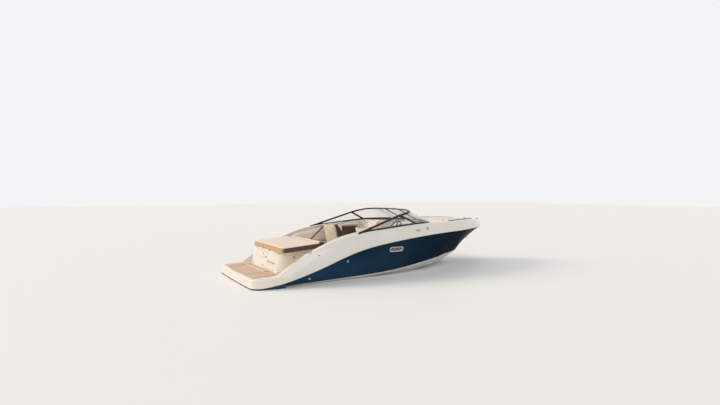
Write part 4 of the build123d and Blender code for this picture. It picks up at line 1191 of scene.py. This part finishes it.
NOSE_X = 3.165
LIGHT_PROFILE = ((0.024, -0.006), (0.024, 0.004), (0.020, 0.009), (0.011, 0.0135), (0, 0.014))
LENS_PROFILE = ((0.010, -0.004), (0.010, 0.002), (0.007, 0.005), (0, 0.0062))
ROLLER_X = (-0.11, -0.05)
nose_place, nose_normal = from_above(DECK, NOSE_X, 0)
gathered("bow_light_base", [
    turned(LIGHT_PROFILE, aimed(nose_place, nose_normal), wide=1.7),
    rod([nose_place + Vector((x, 0, 0.004)) for x in ROLLER_X], 0.012),
], "bright_metal")
for side, look, label in ((1, LENS_RED, "port"), (-1, LENS_GREEN, "starboard")):
    lens_there = aimed(nose_place + Vector((0.004, side * 0.014, 0.010)), (0.5, side, 0.45))
    gathered(f"bow_light_{label}", [turned(LENS_PROFILE, lens_there, 18)], "black_plastic", look=look)


# Pale roll along the cockpit coaming, over the side pads

COAMING = surface_of(SKINS["deck"], SKINS["cockpit_liner"])
ROLL_START_X, ROLL_STEP, ROLL_STEPS = -1.66, 0.047, 30
ROLL_Y, ROLL_BESIDE_Y, ROLL_RADIUS = 1.050, 1.062, 0.018
coaming_rolls = []
for side in SIDES:
    run = []
    for x in (ROLL_START_X + step * ROLL_STEP for step in range(ROLL_STEPS)):
        found = from_above(COAMING, x, side * ROLL_BESIDE_Y)
        run.append(Vector((x, side * ROLL_Y, found[0].z - 0.004)))
    coaming_rolls.append(rod(run, ROLL_RADIUS, sides=14))
gathered("coaming_roll", coaming_rolls, "hull_white", look=BASE_CREAM)


# Cream trim along the inner edge of the bow opening, with a brown line beside it

TRIM_START_X, TRIM_STEP, TRIM_STEPS = 1.36, 0.045, 29
TRIM_LEAST_Y = 0.16
TRIM_RADIUS, TRIM_LINE_RADIUS, TRIM_LINE_OUT = 0.013, 0.009, 0.030
TRIM_LIFT = Vector((0, 0, 0.006))


def opening_edge(x, side):
    """The inner edge of the flat top of the coaming beside the bow seats, at x."""
    heights = []
    for step in range(110):
        found = from_above(COAMING, x, side * (0.02 + step * 0.01))
        heights.append(found[0].z if found else -1.0)
    rim = max(heights)
    first = next(step for step, height in enumerate(heights) if height > rim - 0.008)
    return Vector((x, side * (0.03 + first * 0.01), rim))


bow_trim, bow_line = [], []
for side in SIDES:
    run = [opening_edge(TRIM_START_X + step * TRIM_STEP, side) for step in range(TRIM_STEPS)]
    run = [point + TRIM_LIFT for point in run if abs(point.y) > TRIM_LEAST_Y]
    beside = [point + Vector((0, side * TRIM_LINE_OUT, 0)) for point in run]
    bow_trim.append(rod(rounded_line(run), TRIM_RADIUS))
    bow_line.append(rod(rounded_line(beside), TRIM_LINE_RADIUS))
gathered("bow_coaming_trim", bow_trim, "seat_cream")
gathered("bow_coaming_line", bow_line, "cushion_brown")


# Fittings of the sunpad base, each where the photograph shows it

BASE_PIXELS = {"lens": (263.5, 253.4), "latch": (265.7, 257.0), "socket": (262.9, 264.8),
               "lamp": (294.0, 257.3)}
HANDLE_PIXELS = ((268.0, 261.0), (274.0, 263.3))
PANEL_PIXELS = ((258.4, 248.6), (256.6, 255.0), (266.6, 258.2), (268.2, 252.4))
RING_PROFILE = ((0.022, -0.003), (0.022, 0.002), (0.020, 0.004), (0.0165, 0.004))
INSERT_PROFILE = ((0.0166, 0.001), (0.014, 0.0035), (0, 0.0045))
HANDLE_FOOT = ((0.017, -0.002), (0.017, 0.003), (0.012, 0.006), (0, 0.006))
HANDLE_OUT, HANDLE_RADIUS = 0.034, 0.0085


def base_handle():
    """A bow handle between two round feet."""
    (first, first_out), (second, second_out) = ends = [sighted(BASE, pixel) for pixel in HANDLE_PIXELS]
    out = (first_out + second_out).normalized() * HANDLE_OUT
    bow = rod(rounded_line([first, first + out, second + out, second], 0.2, times=3), HANDLE_RADIUS)
    return [bow] + [turned(HANDLE_FOOT, aimed(*end)) for end in ends]


def base_seam():
    """The line round the small panel, laid on the base's surface."""
    corners = [sighted(BASE, pixel) for pixel in PANEL_PIXELS]
    line = []
    for (first, out), (second, _) in zip(corners, corners[1:] + corners[:1]):
        for step in range(6):
            between = first.lerp(second, step / 6)
            found = met(BASE, between + out * 0.1, -out)
            line.append((found[0] if found else between) + out * 0.0006)
    return rod(line, 0.0028, closed=True)


rings, inserts = [], []
for name, pixel in BASE_PIXELS.items():
    there = aimed(*sighted(BASE, pixel))
    wide = 1.8 if name == "latch" else 1.0
    rings.append(turned(RING_PROFILE, there, wide=wide))
    inserts.append(turned(INSERT_PROFILE, there, wide=wide))
# The base fittings take the same metal, darkened as a painted dark reflection.
gathered("base_fittings", rings + base_handle(), "bright_metal", look=REFLECTION_DARKENED_METAL)
gathered("base_fitting_inserts", inserts, "black_plastic")
gathered("base_panel_seam", [base_seam()], "black_plastic", look=SEAM_GREY)


# Helm dash: gauges, screen and switches

GAUGES = ((-0.47, 0.955, 0.047), (-0.68, 0.955, 0.047), (-0.575, 0.985, 0.026))
NEEDLE_LIFT, NEEDLE_RADIUS = 0.0062, 0.0011
NEEDLE_HUB = ((0.0035, 0.004), (0.0035, 0.008), (0, 0.0085))
SCREEN_Y, SCREEN_Z = -0.865, 0.93
SWITCH_ROWS, SWITCH_START_Y, SWITCH_PITCH, SWITCHES = (0.80, 0.85), -0.945, 0.038, 5


def on_dash(tree, y, z):
    return met(tree, (-0.2, y, z), FORWARD)


bezels, faces, needles = [], [], []
for y, z, radius in GAUGES:
    there = aimed(*on_dash(HELM_DASH, y, z))
    bezels.append(turned([(radius, -0.004), (radius, 0.006), (radius - 0.003, 0.009), (radius - 0.006, 0.008),
                          (radius - 0.007, 0.004)], there, 36))
    faces.append(turned([(radius - 0.0068, 0.001), (radius - 0.0068, 0.0045), (0, 0.0045)], there, 36))
    needle_line = [there @ Vector((x, y_across, NEEDLE_LIFT))
                   for x, y_across in ((0, 0), (-0.6 * radius, 0.25 * radius))]
    needles.append(rod(needle_line, NEEDLE_RADIUS, sides=6))
    needles.append(turned(NEEDLE_HUB, there, 12))
there = aimed(*on_dash(HELM_DASH, SCREEN_Y, SCREEN_Z))
faces.append(pressed(rounded_outline(0.205, 0.128, 0.012), there, low=0.009, high=0.012, ease=0.001))
bezels.append(pressed(rounded_outline(0.225, 0.148, 0.016), there, low=-0.006, high=0.0095, ease=0.004))
gathered("gauge_bezels", bezels, "black_plastic")
gathered("gauge_faces", faces, "black_plastic", look=SCREEN)
gathered("gauge_needles", needles, "seat_cream")

rocker = pressed(rounded_outline(0.020, 0.030, 0.004), Matrix.Identity(4), low=-0.003, high=0.006, ease=0.003)
studs("rocker_switches", rocker, [on_dash(HELM_DASH, SWITCH_START_Y + step * SWITCH_PITCH, z)
                                  for z in SWITCH_ROWS for step in range(SWITCHES)], "black_plastic")


# Port dash: locker door, its latch, and the grab rail

LOCKER_Y, LOCKER_Z = 0.68, 0.92
LATCH_PROFILE = ((0.016, -0.002), (0.016, 0.003), (0.013, 0.005), (0, 0.005))
RAIL_HALF, RAIL_DOWN, RAIL_OUT, RAIL_SUNK = 0.13, -0.088, 0.040, -0.004
locker_place, locker_normal = on_dash(PORT_DASH, LOCKER_Y, LOCKER_Z)
there = aimed(locker_place, locker_normal)
door_line = [there @ Vector((p.x, p.y, 0.0005)) for p in rounded_outline(0.40, 0.13, 0.025)]
gathered("port_locker_seam", [rod(door_line, 0.0022, closed=True, sides=6)], "black_plastic")
latch_there = aimed(there @ Vector((0, 0.045, 0)), locker_normal)
gathered("port_locker_latch", [turned(LATCH_PROFILE, latch_there, wide=1.7)], "bright_metal")
rail = [there @ Vector((across * RAIL_HALF, RAIL_DOWN, out))
        for across, out in ((-1, RAIL_SUNK), (-1, RAIL_OUT), (1, RAIL_OUT), (1, RAIL_SUNK))]
gathered("port_grab_rail", [rod(rounded_line(rail, 0.16, times=3), 0.0095)], "bright_metal")


# Wheel hub and spoke caps, riding on the wheel

WHEEL_PLACE = Vector((0.135, -0.575, 0.935))
WHEEL_TILT = math.radians(32)
WHEEL_AIM = Vector((-math.cos(WHEEL_TILT), 0, math.sin(WHEEL_TILT)))
WHEEL_UP = Vector((math.sin(WHEEL_TILT), 0, math.cos(WHEEL_TILT)))
HUB_PROFILE = ((0.040, 0.004), (0.040, 0.010), (0.034, 0.014), (0.014, 0.017), (0, 0.017))
SPOKE_ANGLES, SPOKE_REACH, SPOKE_LIFT = (-90, 30, 150), (0.040, 0.158), 0.0065
hub = [turned(HUB_PROFILE, aimed(WHEEL_PLACE, WHEEL_AIM), 36)]
for angle in map(math.radians, SPOKE_ANGLES):
    way = Vector((0, math.cos(angle), 0)) + WHEEL_UP * math.sin(angle)
    hub.append(rod([WHEEL_PLACE + WHEEL_AIM * SPOKE_LIFT + way * far for far in SPOKE_REACH], 0.0062))
gathered("wheel_hub_trim", hub, "bright_metal", body="wheel")


# Throttle: box, lever and grip, in the place of its solid

THROTTLE_Y, THROTTLE_X = -0.984, -0.060
LEVER = ((THROTTLE_X, -0.950, 0.735), (THROTTLE_X, -0.946, 0.80), (THROTTLE_X, -0.942, 0.885))
GRIP = ((THROTTLE_X, -0.958, 0.896), (THROTTLE_X, -0.906, 0.896))
PIVOT_PROFILE = ((0.030, 0.018), (0.030, 0.030), (0.024, 0.036), (0, 0.036))
throttle_parts = [
    pressed(rounded_outline(0.132, 0.152, 0.03), aimed((-0.05, THROTTLE_Y, 0.72), (0, 1, 0)),
            low=-0.010, high=0.020, ease=0.006),
    turned(PIVOT_PROFILE, aimed((THROTTLE_X, THROTTLE_Y, 0.735), (0, 1, 0))),
    rod(LEVER, 0.010),
    rod(GRIP, 0.0165, sides=16),
]
gathered("throttle_control", throttle_parts, "black_plastic", "throttle", bevel=0.002)


# Screw heads along the windshield's foot rail

SCREW_PROFILE = ((0.0055, -0.002), (0.0055, 0.0008), (0.004, 0.0022), (0, 0.0026))
SCREW_START_X, SCREW_PITCH, SCREWS_A_SIDE = -0.72, 0.19, 9
RAIL_FOOT_Y, RAIL_FOOT_HALF_HIGH, RAIL_LEAST_Y = 1.085, 0.018, 0.9
FRAME_TREE = surface_of(SKINS["windshield_frame"])
screws = []
for side in SIDES:
    for x in (SCREW_START_X + step * SCREW_PITCH for step in range(SCREWS_A_SIDE)):
        deck_place, _ = from_above(DECK, x, side * RAIL_FOOT_Y)
        found = met(FRAME_TREE, (x, side * BESIDE_ALL, deck_place.z + RAIL_FOOT_HALF_HIGH), (0, -side, 0))
        if found and abs(found[0].y) > RAIL_LEAST_Y:
            screws.append(found)
studs("frame_screws", turned(SCREW_PROFILE, Matrix.Identity(4), 12), screws, "bright_metal")


# Platform: pale bead in the cross seam, dark beads in the long seams

PLATFORM = surface_of(SKINS["swim_platform"], SKINS["platform_decking"])
CROSS_X, CROSS_START_Y, CROSS_STEP, CROSS_STEPS = -2.81, -0.447, 0.0545, 21
LONG_SEAMS_Y, LONG_START_X, LONG_STEP, LONG_STEPS = (-0.8825, -0.4525, 0.6475), -3.185, 0.0165, 30
cross_y = [CROSS_START_Y + step * CROSS_STEP for step in range(CROSS_STEPS)]
cross_z = max(from_above(PLATFORM, CROSS_X, y)[0].z for y in cross_y)
gathered("decking_cross_bead", [rod([(CROSS_X, y, cross_z) for y in cross_y], 0.0075, sides=8)], "hull_white")
long_beads = []
for y in LONG_SEAMS_Y:
    run = []
    for x in (LONG_START_X + step * LONG_STEP for step in range(LONG_STEPS)):
        beside, _ = from_above(PLATFORM, x, y + 0.006)
        run.append((x, y, beside.z - 0.0015))
    long_beads.append(rod(run, 0.0042, sides=6))
gathered("decking_long_beads", long_beads, "black_plastic")


# Decking on the floor of the side passage

PASSAGE_PLAN = ((-2.668, -0.70), (-2.668, -1.022), (-1.722, -1.022), (-1.722, -0.672), (-2.44, -0.672),
                (-2.56, -0.685))
passage_floor = Matrix.Translation((0, 0, from_above(PLATFORM, -2.2, -0.85)[0].z))
passage_plate = pressed(PASSAGE_PLAN, passage_floor, low=-0.002, high=0.004, ease=0.0015)
gathered("passage_decking", [passage_plate], "teak")


# Folded ladder under the platform

LADDER_Y = (0.62, 0.86)
LADDER_X, LADDER_Z = (-3.17, -2.72), (0.015, 0.040)
RUNGS_X = (-3.165, -3.02, -2.87)
ladder = [rod([(x, y, z) for x, z in zip(LADDER_X, LADDER_Z)], 0.016, sides=12) for y in LADDER_Y]
for x in RUNGS_X:
    z = LADDER_Z[0] + (x - LADDER_X[0]) / (LADDER_X[1] - LADDER_X[0]) * (LADDER_Z[1] - LADDER_Z[0])
    ladder.append(rod([(x, y, z) for y in LADDER_Y], 0.014, sides=12))
gathered("boarding_ladder", ladder, "drive_paint")


# Dark seams of the bow bolsters

BOLSTERS = surface_of(PADS["bow_bolsters"])
BOLSTER_SEAMS_X, BOLSTER_LOW, BOLSTER_STEP, BOLSTER_STEPS = (1.88, 2.33), 0.75, 0.0215, 14
bolster_seams = []
for x in BOLSTER_SEAMS_X:
    for side in SIDES:
        places = [met(BOLSTERS, (x, 0, BOLSTER_LOW + step * BOLSTER_STEP), (0, side, 0))
                  for step in range(BOLSTER_STEPS)]
        bolster_seams.append(rod([found[0] for found in places if found], 0.005, sides=8))
gathered("bolster_seams", bolster_seams, "cushion_brown")


# Anchor lid latch

LID = surface_of(SKINS["anchor_lid"])
LID_LATCH_IN = 0.035
LID_LATCH_PROFILE = ((0.019, -0.002), (0.019, 0.0015), (0.016, 0.003), (0.012, 0.003), (0.010, 0.001),
                     (0, 0.001))
_, lid_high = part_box("anchor_lid")
lid_latch_there = aimed(*from_above(LID, lid_high.x - LID_LATCH_IN, 0))
gathered("anchor_lid_latch", [turned(LID_LATCH_PROFILE, lid_latch_there)], "bright_metal",
         body="anchor_hatch")
